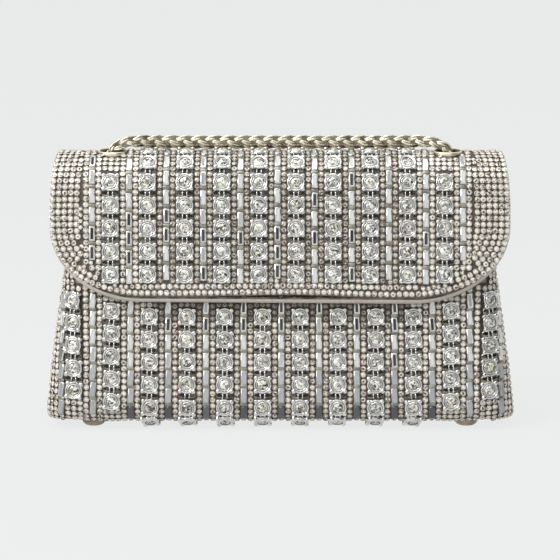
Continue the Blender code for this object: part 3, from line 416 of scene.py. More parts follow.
def body_point(turn, z):
    """A point of the leather at a height.

    turn is 0 at the front's centre, 1 and 2 at the corner's start and end, 3 at the side's centre.
    """
    half_width, half_depth, corner = body_section(z)
    side = math.copysign(1, turn)
    turn = abs(turn)
    flat = half_width - corner
    if turn <= 1:
        x, y = turn * flat, -half_depth
    elif turn <= 2:
        angle = (turn - 1) * math.pi / 2
        x = flat + corner * math.sin(angle)
        y = -half_depth + corner - corner * math.cos(angle)
    else:
        x, y = half_width, (turn - 3) * (half_depth - corner)
    return Vector((side * x, y, z))


def body_frame(turn, z):
    """Point, outward normal and upward tangent of the leather."""
    small = GAP / 10
    point = body_point(turn, z)
    along = body_point(turn + 0.001, z) - body_point(turn - 0.001, z)
    up = body_point(turn, z + small) - point
    return point, along.cross(up).normalized(), up.normalized()


def body_at(turn, z, level, back=False):
    """A point at a level above the body's leather, on the front half or mirrored on the back."""
    point, normal, _ = body_frame(turn, z)
    place = point + level * normal
    return Vector((place.x, -place.y, place.z)) if back else place


def body_spot(turn, z, back=False):
    """A spot on the body."""
    point, normal, up = body_frame(turn, z)
    if back:
        point, normal, up = (Vector((v.x, -v.y, v.z)) for v in (point, normal, up))
    return point, up.cross(normal), up, normal


def arc_of(x, z):
    """Distance round the section from the middle of the front to x."""
    half_width, _, corner = body_section(z)
    flat = half_width - corner
    if abs(x) <= flat:
        return x
    return math.copysign(flat + corner * math.asin(min((abs(x) - flat) / corner, 1)), x)


def turn_of(arc, z):
    """The turn at a distance round the section."""
    half_width, _, corner = body_section(z)
    flat = half_width - corner
    if abs(arc) <= flat:
        return arc / flat
    return math.copysign(1 + (abs(arc) - flat) / corner / (math.pi / 2), arc)


def body_drops(top, bottom):
    """Heights from top to bottom, closer together round the bottom edge."""
    edge = FOOT_HEIGHT + EDGE_FILLET
    if bottom >= edge:
        return list(np.linspace(top, bottom, 12))
    heights = list(np.linspace(top, edge, 40))
    last = math.acos(1 - (bottom - FOOT_HEIGHT) / EDGE_FILLET)
    for angle in np.linspace(math.pi / 2, last, 16)[1:]:
        heights.append(FOOT_HEIGHT + EDGE_FILLET * (1 - math.cos(angle)))
    return heights


class Column:
    """A vertical line on the body, at x or a distance beside it, measured down from its top."""

    def __init__(self, x, beside, top, bottom, back=False, limit=FACE_LIMIT):
        self.back = back
        self.heights = body_drops(top, bottom)
        self.turns = []
        for z in self.heights:
            turn = turn_of(arc_of(x, z) + beside, z)
            self.turns.append(math.copysign(min(abs(turn), limit), turn))
        places = [body_at(t, z, DATUM) for t, z in zip(self.turns, self.heights)]
        steps = [(b - a).length for a, b in zip(places, places[1:])]
        self.drops = np.concatenate(([0], np.cumsum(steps)))
        self.length = self.drops[-1]

    def spot(self, drop):
        """The spot at a distance below the top."""
        z = float(np.interp(drop, self.drops, self.heights))
        turn = float(np.interp(drop, self.drops, self.turns))
        return body_spot(turn, z, self.back)

    def drop_of(self, z):
        """Distance below the top at a height."""
        return float(np.interp(-z, [-h for h in self.heights], self.drops))


# Surface of the flap


def flap_frame(travel):
    """Point, normal and downward tangent in the side view, at a distance from the back seam."""
    angle = min(travel, FLAP_ARC) / FLAP_RADIUS
    normal = Vector((0, math.cos(angle), math.sin(angle)))
    tangent = Vector((0, -math.sin(angle), math.cos(angle)))
    centre = Vector((0, FLAP_CENTRE_Y, HINGE_HEIGHT))
    point = centre + normal * FLAP_RADIUS + tangent * max(travel - FLAP_ARC, 0)
    return point, normal, tangent


def flap_travel(distance, level):
    """Travel on the leather for a distance measured at a level from the back seam."""
    arc = (FLAP_RADIUS + level) * FLAP_ARC_ANGLE
    if distance <= arc:
        return distance * FLAP_RADIUS / (FLAP_RADIUS + level)
    return FLAP_ARC + distance - arc


def flap_distance(travel, level):
    """Distance from the back seam at a level, for a travel on the leather."""
    if travel <= FLAP_ARC:
        return travel * (FLAP_RADIUS + level) / FLAP_RADIUS
    return (FLAP_RADIUS + level) * FLAP_ARC_ANGLE + travel - FLAP_ARC


def flap_wave(x, travel):
    """How far the soft lower edge of the flap waves in and out."""
    share = max(travel / FLAP_LENGTH, 0) ** 4
    return 0.00022 * share * math.sin(x * 105 + 0.7) + 0.00012 * share * math.sin(x * 260)


def flap_sag(x, travel):
    """How far the soft lower edge hangs down, or up in the middle."""
    share = max(travel / FLAP_LENGTH, 0) ** 16
    lifted = 0.0010 * math.exp(-(((x - 0.006) / 0.032) ** 2))
    hanging = 0.0010 * math.exp(-(((x - 0.054) / 0.024) ** 2))
    return share * (hanging - lifted)


def flap_at(x, travel, level):
    """A point at a level above the flap's leather."""
    point, normal, _ = flap_frame(travel + flap_sag(x, travel))
    place = point + normal * (level + flap_wave(x, travel))
    return Vector((x, place.y, place.z))


def flap_spot(x, distance):
    """A spot on the flap, its along axis pointing up the front."""
    travel = flap_travel(distance, DATUM)
    point, normal, tangent = flap_frame(travel + flap_sag(x, travel))
    up = -tangent
    return Vector((x, point.y, point.z)), up.cross(normal), up, normal


def flap_outline(inset=0, start=GAP, arc_steps=30, corner_steps=18):
    """(half-width, travel) down one side of the flap, then round its lower corner."""
    points = []
    corner = FLAP_LENGTH - FLAP_CORNER_HEIGHT
    travels = list(np.linspace(start, FLAP_ARC, arc_steps + 1))
    travels += list(np.linspace(FLAP_ARC, corner, 6)[1:])
    for travel in travels:
        widen = math.sin(min(travel / FLAP_WIDEN_LENGTH, 1) * math.pi / 2)
        half = FLAP_SEAM_HALF_WIDTH + (FLAP_HALF_WIDTH - FLAP_SEAM_HALF_WIDTH) * widen
        points.append((half - inset, float(travel)))
    for k in range(1, corner_steps + 1):
        angle = k / corner_steps * math.pi / 2
        half = FLAP_HALF_WIDTH - FLAP_CORNER_WIDTH + (FLAP_CORNER_WIDTH - inset) * math.cos(angle)
        points.append((half, corner + (FLAP_CORNER_HEIGHT - inset) * math.sin(angle)))
    return points


def centred(count, pitch):
    """Places with a pitch, centred on zero."""
    return [(k - (count - 1) / 2) * pitch for k in range(count)]


def middles(places):
    """Places halfway between neighbours."""
    return [(a + b) / 2 for a, b in zip(places, places[1:])]


def runs(points):
    """Distance along a line of points to each of them."""
    return np.concatenate(([0], np.cumsum(np.linalg.norm(np.diff(points, axis=0), axis=1))))


# Meshes


def show(name, mesh, finishes):
    """One named object that shows mesh."""
    made = bpy.data.objects.new(name, mesh)
    bpy.context.scene.collection.objects.link(made)
    for finish in finishes:
        mesh.materials.append(finish)
    return made


def settle(piece, body, nodes=()):
    """Lets a piece ride on a body, in place of its CAD nodes."""
    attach(piece, body)
    if nodes:
        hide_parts(*nodes)
    return piece


def skin(name, points, faces, finishes, sharp=40):
    """A closed mesh with its faces pointing out and its round stretches smooth."""
    mesh = bpy.data.meshes.new(name)
    mesh.from_pydata([tuple(p) for p in points], [], faces)
    tidy = bmesh.new()
    tidy.from_mesh(mesh)
    bmesh.ops.recalc_face_normals(tidy, faces=tidy.faces)
    tidy.to_mesh(mesh)
    tidy.free()
    mesh.shade_smooth()
    mesh.set_sharp_from_angle(angle=math.radians(sharp))
    return show(name, mesh, finishes)


def plate(name, outer, inner, finishes, sharp=40):
    """A sheet between two grids of points with the same rows and columns."""
    rows, columns = len(outer), len(outer[0])
    points = [p for grid in (outer, inner) for row in grid for p in row]
    inside = rows * columns
    faces = []
    for r in range(rows - 1):
        for c in range(columns - 1):
            corner = r * columns + c
            quad = (corner, corner + 1, corner + columns + 1, corner + columns)
            faces.append(quad)
            faces.append(tuple(inside + k for k in reversed(quad)))
    rim = list(range(columns))
    rim += [r * columns + columns - 1 for r in range(1, rows)]
    rim += [(rows - 1) * columns + c for c in range(columns - 2, -1, -1)]
    rim += [r * columns for r in range(rows - 2, 0, -1)]
    for a, b in zip(rim, rim[1:] + rim[:1]):
        faces.append((b, a, inside + a, inside + b))
    return skin(name, points, faces, finishes, sharp)


def ring_faces(rings, sides, closed=False, start=0):
    """Faces between rings of points. The last ring joins the first, or both are capped."""
    faces = []
    for r in range(rings if closed else rings - 1):
        here, there = start + r * sides, start + (r + 1) % rings * sides
        for c in range(sides):
            after = (c + 1) % sides
            faces.append((here + c, here + after, there + after, there + c))
    if not closed:
        last = start + (rings - 1) * sides
        faces.append(tuple(range(start, start + sides)))
        faces.append(tuple(reversed(range(last, last + sides))))
    return faces


def loft(name, rings, closed, finishes, sharp=40):
    """A skin through rings of points, closed or capped."""
    points = [p for ring in rings for p in ring]
    return skin(name, points, ring_faces(len(rings), len(rings[0]), closed), finishes, sharp)


def lathe(name, profile, spot, finishes, steps=48):
    """A turned piece. profile is (radius, level), a closed ring or a line from axis to axis."""
    point, across, along, normal = spot
    solid = profile[0][0] == 0
    rings = []
    for radius, level in profile[1:-1] if solid else profile:
        ring = []
        for k in range(steps):
            angle = 2 * math.pi * k / steps
            flat = across * math.cos(angle) + along * math.sin(angle)
            ring.append(point + flat * radius + normal * level)
        rings.append(ring)
    return loft(name, rings, not solid, finishes, 35)


def tube_rings(path, radius, sides, reference, closed=False):
    """Points round a path, as an array of rings."""
    path = np.array(path, float)
    if closed:
        tangent = np.roll(path, -1, 0) - np.roll(path, 1, 0)
    else:
        tangent = np.gradient(path, axis=0)
    tangent /= np.linalg.norm(tangent, axis=1)[:, None]
    reference = np.broadcast_to(np.array(reference, float), path.shape)
    first = reference - tangent * np.sum(reference * tangent, axis=1)[:, None]
    first /= np.linalg.norm(first, axis=1)[:, None]
    second = np.cross(tangent, first)
    angles = 2 * math.pi * np.arange(sides) / sides
    radius = np.broadcast_to(np.array(radius, float), (len(path),))
    cosines, sines = (wave(angles)[None, :, None] for wave in (np.cos, np.sin))
    ring = first[:, None] * cosines + second[:, None] * sines
    return path[:, None] + ring * radius[:, None, None]


def wire(name, path, radius, sides, reference, finishes, closed=False):
    """A round wire along a path."""
    return loft(name, tube_rings(path, radius, sides, reference, closed), closed, finishes, 60)


def smooth_line(route, step):
    """Evenly spaced points on a smooth curve through the route's own points."""
    points = np.array(route, float)
    ends = np.vstack((points[0] * 2 - points[1], points, points[-1] * 2 - points[-2]))
    fine = []
    for a, b, c, d in zip(ends, ends[1:], ends[2:], ends[3:]):
        for k in range(16):
            t = k / 16
            bend = 2 * a - 5 * b + 4 * c - d
            twist = 3 * b - a - 3 * c + d
            fine.append(b + ((c - a) * t + bend * t**2 + twist * t**3) / 2)
    fine.append(points[-1])
    fine = np.array(fine)
    run = runs(fine)
    places = np.linspace(0, run[-1], max(2, round(run[-1] / step)) + 1)
    return np.stack([np.interp(places, run, fine[:, k]) for k in range(3)], axis=1), run[-1]


def pierce(piece, spot, radius):
    """Cuts a round hole through a piece at a spot."""
    reach = 0.006
    cutter = lathe("cutter", [(0, -reach), (radius, -reach), (radius, reach), (0, reach)], spot, [])
    step = piece.modifiers.new("hole", "BOOLEAN")
    step.object = cutter
    step.solver = "EXACT"
    bpy.context.view_layer.update()
    graph = bpy.context.evaluated_depsgraph_get()
    result = bpy.data.meshes.new_from_object(piece.evaluated_get(graph), depsgraph=graph)
    piece.modifiers.clear()
    piece.data = result
    bpy.data.objects.remove(cutter)


class Form:
    """A small shape to be repeated, with each face's finish and range of tones."""

    def __init__(self):
        self.points = []
        self.faces = []
        self.finishes = []
        self.tones = []

    def ring(self, points):
        """Adds a ring of points and gives its numbers."""
        start = len(self.points)
        self.points += points
        return list(range(start, start + len(points)))

    def face(self, corners, finish, tone=(0.6, 0.9, 0)):
        """Adds one face. tone is its lowest and highest tone and the chance of a dark one."""
        self.faces.append(tuple(corners))
        self.finishes.append(finish)
        self.tones.append(tone)

    def band(self, low, high, finish, tone=(0.6, 0.9, 0)):
        """Joins two rings of the same count."""
        count = len(low)
        for k in range(count):
            after = (k + 1) % count
            self.face((low[k], low[after], high[after], high[k]), finish, tone)


def circle(sides, radius, height, turn=0.0, x=0.0, y=0.0):
    """Points round a circle."""
    angles = [2 * math.pi * (k + turn) / sides for k in range(sides)]
    return [(x + radius * math.cos(a), y + radius * math.sin(a), height) for a in angles]


def oblong(half_width, half_length, height, cut=0.0):
    """Corners of an oblong, each cut off by a little."""
    w, h = half_width, half_length
    if not cut:
        return [(w, -h, height), (w, h, height), (-w, h, height), (-w, -h, height)]
    points = []
    for sx, sy in ((1, -1), (1, 1), (-1, 1), (-1, -1)):
        pair = [(sx * w, sy * (h - cut), height), (sx * (w - cut), sy * h, height)]
        points += pair if sx * sy > 0 else pair[::-1]
    return points


def stone_form(sizes, share=1.0):
    """A small round stone in a metal cup, each ring at a share of the cup's radius and the rise."""
    form = Form()
    r, rise = sizes.stone_radius * share, sizes.stone_rise
    foot = form.ring(circle(10, r, 0))
    lip = form.ring(circle(10, r, rise * 0.60))
    brim = form.ring(circle(10, r * 0.84, rise * 0.74))
    girdle = form.ring(circle(10, r * 0.76, rise * 0.62))
    table = form.ring(circle(5, r * 0.44, rise, 0.25))
    # Painted shade on the cup's outer wall, where the stones meet.
    form.band(foot, lip, 0, (0.0, 0.3, 0))
    # Painted highlight along the cup's lip.
    form.band(lip, brim, 0, (0.85, 1.0, 0.04))
    # Painted shade in a dark ring inside the lip.
    form.band(brim, girdle, 0, (0.0, 0.4, 0.4))
    # Painted bright and dark reflections on the facets and the table.
    for k in range(5):
        a, b, c = girdle[2 * k], girdle[2 * k + 1], girdle[(2 * k + 2) % 10]
        form.face((a, b, table[k]), 1, (0.35, 1.0, 0.24))
        form.face((b, c, table[(k + 1) % 5], table[k]), 1, (0.35, 1.0, 0.26))
    form.face(table, 1, (0.3, 1.0, 0.25))
    return form


def turned(form, profile, sides, finishes, tone=(0.6, 0.9, 0), x=0.0, y=0.0):
    """Adds a turned shape to a form. finishes gives one number for each step of the profile."""
    rings = [form.ring(circle(sides, radius, height, x=x, y=y)) for radius, height in profile]
    for low, high, number in zip(rings, rings[1:], finishes):
        form.band(low, high, number, tone)
    return rings[-1]


def square_form():
    """A square setting: plate, two round rims, a claw at each corner and a large cut stone.

    Rims and claws are given as pairs of a radius and a height.
    """
    form = Form()
    half, cut = SQUARE / 2 - 0.0003, 0.0012
    low = form.ring(oblong(half, half, -0.0008, cut))
    high = form.ring(oblong(half, half, 0.0005, cut))
    form.band(low, high, 0)
    form.face(high, 0)
    form.face(low[::-1], 2)
    outer = [(0.00445, 0.0), (0.00445, 0.0007), (0.0043, 0.0009), (0.0036, 0.00095)]
    groove = [(0.0035, 0.0006), (0.00336, 0.0006)]
    inner = [(0.0033, 0.0011), (0.0031, 0.00125), (0.00272, 0.0012), (0.0026, 0.0007)]
    # Steps 4 and 8 of the profile, the groove and the wall under the stone, take painted shade.
    turned(form, outer + groove + inner, 24, (0, 0, 0, 0, 2, 0, 0, 0, 2))
    girdle = form.ring(circle(16, 0.00256, 0.0009))
    crown = form.ring(circle(8, 0.0020, 0.00128, 0.5))
    table = form.ring(circle(8, 0.00125, 0.00145))
    centre = form.ring([(0, 0, 0.00145)])[0]
    # Painted bright and dark reflections on the facets, darker in the table's middle star.
    bright, deep = (0.35, 1.0, 0.3), (0.1, 1.0, 0.4)
    for k in range(8):
        after = (k + 1) % 8
        before = (k - 1) % 8
        form.face((girdle[2 * k], girdle[2 * k + 1], crown[k]), 1, bright)
        form.face((girdle[2 * k + 1], girdle[(2 * k + 2) % 16], crown[k]), 1, bright)
        form.face((girdle[2 * k], crown[k], table[k], crown[before]), 1, bright)
        form.face((crown[k], table[after], table[k]), 1, bright)
        form.face((table[k], table[after], centre), 1, deep)
    claw = [(0.00118, -0.0008), (0.00118, 0.0009), (0.00100, 0.00122), (0.00060, 0.00138)]
    for x in (-0.00335, 0.00335):
        for y in (-0.00330, 0.00330):
            form.face(turned(form, claw, 9, (0, 0, 0), x=x, y=y), 0)
    return form


def link_form(reach):
    """Two small bars that join one square setting to the next, over a slot with painted shade."""
    form = Form()
    for x in (-0.0011, 0.0011):
        rings = []
        for z in (0.0, 0.0005):
            points = oblong(0.00028, reach / 2, z)
            rings.append(form.ring([(px + x, py, pz) for px, py, pz in points]))
        form.band(rings[0], rings[1], 0)
        form.face(rings[1], 0)
        form.face(rings[0][::-1], 0)
    slot = [form.ring(oblong(0.0043, reach / 2 + 0.0004, z, 0.0011)) for z in (-0.0010, -0.00045)]
    form.band(slot[0], slot[1], 2)
    form.face(slot[1], 3)
    # A dark lens just under the upper square: a painted contact shadow.
    lens = [(0.0043 * x, 0.00105 * y + 0.0004, -0.0003) for x, y, z in circle(12, 1.0, 0)]
    form.face(form.ring(lens), 2)
    return form


def bar_form(sizes, rim=0):
    """A mirror bar in a bevelled frame. rim is the number of the frame's finish."""
    form = Form()
    w, h = sizes.bar_width / 2, sizes.bar_length / 2
    edge_width, slope = 0.00050, 0.00035
    foot = form.ring(oblong(w, h, 0))
    shoulder = form.ring(oblong(w, h, 0.00105))
    edge = form.ring(oblong(w - edge_width, h - edge_width * 0.6, 0.00130))
    bed = form.ring(oblong(w - edge_width - slope, h - edge_width - slope, 0.00122))
    form.band(foot, shoulder, rim)
    form.band(shoulder, edge, rim)
    form.band(edge, bed, rim)
    form.face(bed, 1, (0, 1, 0))
    return form


def spacer_form():
    """A small dull plate between two mirror bars."""
    form = Form()
    rings = [form.ring(oblong(0.0017, 0.0009, z, 0.0002)) for z in (0.0, 0.0009)]
    top = form.ring(oblong(0.0016, 0.0008, 0.0010, 0.0002))
    form.band(rings[0], rings[1], 2)
    form.band(rings[1], top, 2)
    form.face(top, 2)
    return form


def stitch_form():
    """One stitch of thread, lying along its seam."""
    form = Form()
    rings = []
    half = ((-0.0011, 0.00008), (-0.0008, 0.00022))
    for y, r in (*half, (0, 0.00026), *((-y, r) for y, r in reversed(half))):
        points = circle(6, r, 0)
        rings.append(form.ring([(px, y, py + 0.0001) for px, py, _ in points]))
    for a, b in zip(rings, rings[1:]):
        form.band(b, a, 0)
    form.face(rings[0], 0)
    form.face(rings[-1][::-1], 0)
    return form


class Cluster:
    """Many copies of small forms in one mesh."""

    def __init__(self, name, finishes, seed):
        self.name = name
        self.finishes = finishes
        self.chance = np.random.default_rng(seed)
        self.parts = []

    def add(self, form, spots, level, spin=False, tilt=0.0, own_tones=None, shares=None):
        """Sets a form on every spot, at a level.

        own_tones gives each copy's mirror its painted reflection tone, shares the part of its tones
        that a copy keeps, as painted shade.
        """
        if not spots:
            return
        origin, across, along, normal = (np.array([tuple(v) for v in part]) for part in zip(*spots))
        count = len(spots)
        if spin:
            angle = self.chance.uniform(0, 2 * math.pi, count)[:, None]
            across, along = (
                across * np.cos(angle) + along * np.sin(angle),
                along * np.cos(angle) - across * np.sin(angle),
            )
        if tilt:
            lean = self.chance.normal(0, tilt, (count, 2))
            normal = normal + across * lean[:, :1] + along * lean[:, 1:]
            normal /= np.linalg.norm(normal, axis=1)[:, None]
            across = np.cross(along, normal)
            across /= np.linalg.norm(across, axis=1)[:, None]
            along = np.cross(normal, across)
        shape = np.array(form.points)
        axes = enumerate((across, along, normal))
        points = (origin + normal * level)[:, None] + sum(
            shape[None, :, k, None] * axis[:, None] for k, axis in axes
        )
        low, high, dark = (np.array(v) for v in zip(*form.tones))
        tone = self.chance.uniform(low, high, (count, len(low)))
        # Faces that take a dark tone: painted shade and painted dark reflections.
        painted_dark = self.chance.random((count, len(low))) < dark
        tone = np.where(painted_dark, self.chance.uniform(0, 0.3, tone.shape), tone)
        tone = tone + self.chance.normal(0, 0.07, (count, 1))
        if shares is not None:
            tone = tone * np.array(shares)[:, None]
        if own_tones is not None:
            marked = np.array([f == 1 for f in form.finishes])
            tone[:, marked] = np.array(own_tones)[:, None]
        self.parts.append((points, form, np.clip(tone, 0, 1)))

    def build(self):
        """The whole cluster as one object."""
        places, loops, lengths, slots, tones = [], [], [], [], []
        start = 0
        for points, form, tone in self.parts:
            count, size = points.shape[:2]
            corners = np.concatenate([np.array(face) for face in form.faces])
            loops.append((start + np.arange(count)[:, None] * size + corners).ravel())
            lengths.append(np.tile([len(face) for face in form.faces], count))
            slots.append(np.tile(form.finishes, count))
            tones.append(tone.ravel())
            places.append(points.reshape(-1, 3))
            start += count * size
        places, loops, lengths, slots, tones = (
            np.concatenate(v) for v in (places, loops, lengths, slots, tones)
        )
        mesh = bpy.data.meshes.new(self.name)
        mesh.vertices.add(len(places))
        mesh.vertices.foreach_set("co", places.astype(np.float32).ravel())
        mesh.loops.add(len(loops))
        mesh.loops.foreach_set("vertex_index", loops.astype(np.int32))
        mesh.polygons.add(len(lengths))
        starts = np.concatenate(([0], np.cumsum(lengths)[:-1]))
        mesh.polygons.foreach_set("loop_start", starts.astype(np.int32))
        mesh.polygons.foreach_set("material_index", slots.astype(np.int32))
        attribute = mesh.attributes.new("tone", "FLOAT", "FACE")
        attribute.data.foreach_set("value", tones.astype(np.float32))
        mesh.update(calc_edges=True)
        mesh.validate()
        return show(self.name, mesh, self.finishes)


# Finishes


def feed(tree, socket, value):
    """Sets a socket, or links it where value is another node's output."""
    if isinstance(value, bpy.types.NodeSocket):
        tree.links.new(value, socket)
    else:
        socket.default_value = value


def add_node(tree, kind, inputs=None, **settings):
    """Adds a node with its settings and inputs."""
    made = tree.nodes.new("ShaderNode" + kind)
    for key, value in settings.items():
        setattr(made, key, value)
    for socket, value in (inputs or {}).items():
        feed(tree, made.inputs[socket], value)
    return made


class Finish:
    """A Principled material under construction."""

    def __init__(self, name, base, roughness, metallic=0.0, **others):
        self.made = bpy.data.materials.new(name)
        self.made.use_nodes = True
        self.made.diffuse_color = (*base, 1)
        self.tree = self.made.node_tree
        self.shader = self.tree.nodes["Principled BSDF"]
        self.put("Base Color", (*base, 1))
        self.put("Roughness", roughness)
        self.put("Metallic", metallic)
        for key, value in others.items():
            self.put(key.replace("_", " "), value)

    def put(self, socket, value):
        """Sets or links one of the shader's own sockets."""
        feed(self.tree, self.shader.inputs[socket], value)

    def node(self, kind, inputs=None, **settings):
        """Adds a node to this material."""
        return add_node(self.tree, kind, inputs, **settings)

    def place(self):
        """The object's own coordinates."""
        return self.node("TexCoord").outputs["Object"]

    def tone(self):
        """Each face's own tone, which carries painted reflections, highlights and shade."""
        return self.node("Attribute", attribute_name="tone").outputs["Fac"]

    def noise(self, scale, detail=3.0):
        """A cloudy pattern from 0 to 1."""
        inputs = {"Vector": self.place(), "Scale": scale, "Detail": detail, "Roughness": 0.55}
        return self.node("TexNoise", inputs).outputs["Fac"]

    def cells(self, scale):
        """Distance to the middle of the nearest cell."""
        made = self.node("TexVoronoi", {"Vector": self.place(), "Scale": scale}, feature="F1")
        return made.outputs["Distance"]

    def range(self, value, low, high, to_low, to_high):
        """Value moved from one range to another."""
        ends = {"From Min": low, "From Max": high, "To Min": to_low, "To Max": to_high}
        return self.node("MapRange", {"Value": value, **ends}).outputs["Result"]

    def ramp(self, value, stops):
        """Value as a colour, from (place, colour) stops."""
        made = self.node("ValToRGB", {"Fac": value})
        bar = made.color_ramp
        while len(bar.elements) < len(stops):
            bar.elements.new(0.5)
        for element, (place, shade) in zip(bar.elements, stops):
            element.position = place
            element.color = (*shade, 1)
        return made.outputs["Color"]

    def mix(self, factor, a, b, blend="MIX"):
        """Two colours mixed."""
        made = self.node("Mix", data_type="RGBA", blend_type=blend)
        for index, value in ((0, factor), (6, a), (7, b)):
            plain = index and not isinstance(value, bpy.types.NodeSocket)
            feed(self.tree, made.inputs[index], (*value, 1) if plain else value)
        return made.outputs[2]

    def patches(self, cloud, low, high, first, second, most=1):
        """Colours the base from first to second where a cloud goes from low to high."""
        self.put("Base Color", self.mix(self.range(cloud, low, high, 0, most), first, second))

    def tinted(self, cloud, low, high, look, tint, most):
        """Colours the base with a look that takes on a tint in patches."""
        share = self.range(cloud, low, high, 0, most)
        self.put("Base Color", self.mix(share, look, self.mix(1.0, look, tint, "MULTIPLY")))

    def bump(self, height, distance, strength=1.0):
        """Adds relief on top of any relief that is there."""
        inputs = {"Height": height, "Distance": distance, "Strength": strength}
        socket = self.shader.inputs["Normal"]
        if socket.links:
            inputs["Normal"] = socket.links[0].from_socket
        self.put("Normal", self.node("Bump", inputs).outputs["Normal"])


def shade(colour, share):
    """A colour made darker or lighter by a share."""
    return tuple(min(c * share, 1) for c in colour)


def finish(name, build):
    """The material of that name, built the first time."""
    return bpy.data.materials.get(name) or build(name)


def patchy(name, base, roughness, metallic, noise, span, shades, rough=()):
    """A plain material in two shades, patch by patch, and with two roughnesses where given."""
    made = Finish(name, base, roughness, metallic)
    cloud = made.noise(*noise)
    made.patches(cloud, *span, *shades)
    if rough:
        made.put("Roughness", made.range(cloud, 0.3, 0.7, *rough))
    return made.made


def champagne_crystal(name):
    """Small stones: warm cream, with painted bright and dark reflections, one tone per facet."""
    look = bpy.context.scene.bag_crystals
    light, dark = tuple(look.champagne_painted_bright), tuple(look.champagne_painted_dark)
    made = Finish(name, light, 0.12, 0.15, IOR=1.62)
    middle = tuple(0.74 * a + 0.26 * b for a, b in zip(light, dark))
    stops = ((0.0, dark), (0.42, middle), (0.8, light), (1.0, (1.0, 0.96, 0.9)))
    made.tinted(made.noise(90), 0.4, 0.62, made.ramp(made.tone(), stops), (0.99, 0.91, 0.83), 0.5)
    return made.made


def clear_crystal(name):
    """Large stones: clear, with a faint green-yellow cast and painted bright and dark reflections on
    the facets.
    """
    look = bpy.context.scene.bag_crystals
    light, dark = tuple(look.clear_painted_bright), tuple(look.clear_painted_dark)
    made = Finish(name, light, 0.07, 0.1, IOR=1.7)
    middle = tuple(0.42 * a + 0.58 * b for a, b in zip(light, dark))
    stops = ((0.0, dark), (0.38, middle), (0.72, light), (1.0, (1, 1, 0.98)))
    made.tinted(made.noise(140), 0.42, 0.6, made.ramp(made.tone(), stops), (0.93, 0.94, 0.74), 0.6)
    return made.made


def mirror(name):
    """Mirror bars, from near black to bright, as painted reflections."""
    made = Finish(name, (0.8, 0.8, 0.8), 0.05, 0.35, IOR=1.7)
    stops = ((0.0, (0.015, 0.016, 0.02)), (0.35, (0.10, 0.11, 0.12)), (0.75, (0.82, 0.84, 0.83)))
    glass = made.ramp(made.tone(), stops)
    made.tinted(made.noise(420, 1.0), 0.35, 0.65, glass, (0.72, 0.76, 0.80), 0.35)
    return made.made


def silver(name):
    """Bright plated settings, a little duller in patches."""
    base = tuple(bpy.context.scene.bag_crystals.silver)
    shades = base, shade(base, 0.84)
    return patchy(name, base, 0.2, 1.0, (260, 2.0), (0.4, 0.65), shades, (0.14, 0.28))


def cup_metal(name):
    """Warm metal cups that hold the small stones, with painted shade on their walls and a painted
    highlight on their lips.
    """
    made = Finish(name, (0.50, 0.42, 0.33), 0.26, 0.5)
    stops = ((0.15, (0.11, 0.088, 0.068)), (0.7, (0.78, 0.71, 0.60)), (0.95, (1.0, 0.965, 0.875)))
    made.put("Base Color", made.ramp(made.tone(), stops))
    return made.made


def stone_bed(name):
    """Woven backing with metal between the stones, its colour darkened as painted shade between
    them.
    """
    base = tuple(bpy.context.scene.bag_crystals.bed)
    made = Finish(name, base, 0.5, 0.3)
    weave = made.cells(1500)
    fine = made.mix(made.range(weave, 0.0, 0.6, 0, 1), shade(base, 1.5), shade(base, 0.55))
    made.patches(made.noise(70), 0.35, 0.65, fine, shade(base, 1.25), 0.5)
    made.bump(weave, 0.0002)
    return made.made


def dark_slot(name):
    """Painted shade in the hollows of the square settings and in the slots between them."""
    shades = (0.016, 0.013, 0.011), (0.16, 0.145, 0.125)
    return patchy(name, (0.05, 0.042, 0.035), 0.3, 0.4, (420, 2.0), (0.5, 0.62), shades)


def dull_metal(name):
    """Grey-taupe metal between the mirror bars and between the square settings."""
    shades = (0.22, 0.20, 0.16), (0.42, 0.40, 0.34)
    return patchy(name, (0.36, 0.33, 0.29), 0.38, 0.7, (300,), (0.35, 0.65), shades)


def leather(name, base, gloss):
    """Fine-grained leather with soft colour changes, paler rubbed places and painted shade in its
    creases.
    """
    made = Finish(name, base, gloss, 0.0, Sheen_Weight=0.15)
    grain = made.cells(1150)
    creases = made.noise(420, 4.0)
    cloud = made.noise(34, 4.0)
    deep = made.mix(made.range(grain, 0.1, 0.6, 0, 1), shade(base, 0.82), shade(base, 1.08))
    worn = made.mix(made.range(cloud, 0.38, 0.66, 0, 0.8), deep, shade(base, 1.22))
    # Darker along the creases: painted shade.
    made.patches(creases, 0.62, 0.72, worn, shade(base, 0.7), 0.5)
    made.put("Roughness", made.range(cloud, 0.3, 0.7, gloss + 0.08, gloss - 0.06))
    made.bump(grain, 0.00012, 0.8)
    made.bump(creases, 0.00025, 0.5)
    return made.made


def champagne_leather(name):
    """Leather of the body."""
    return leather(name, tuple(bpy.context.scene.bag_leather.champagne), 0.42)


def taupe_leather(name):
    """Leather of the flap, the edges and the tabs."""
    return leather(name, tuple(bpy.context.scene.bag_leather.taupe), 0.36)


def edge_leather(name):
    """Smooth leather of the flap's rounded edge, glossier, and lighter by a painted highlight."""
    return leather(name, shade(tuple(bpy.context.scene.bag_leather.taupe), 1.65), 0.2)


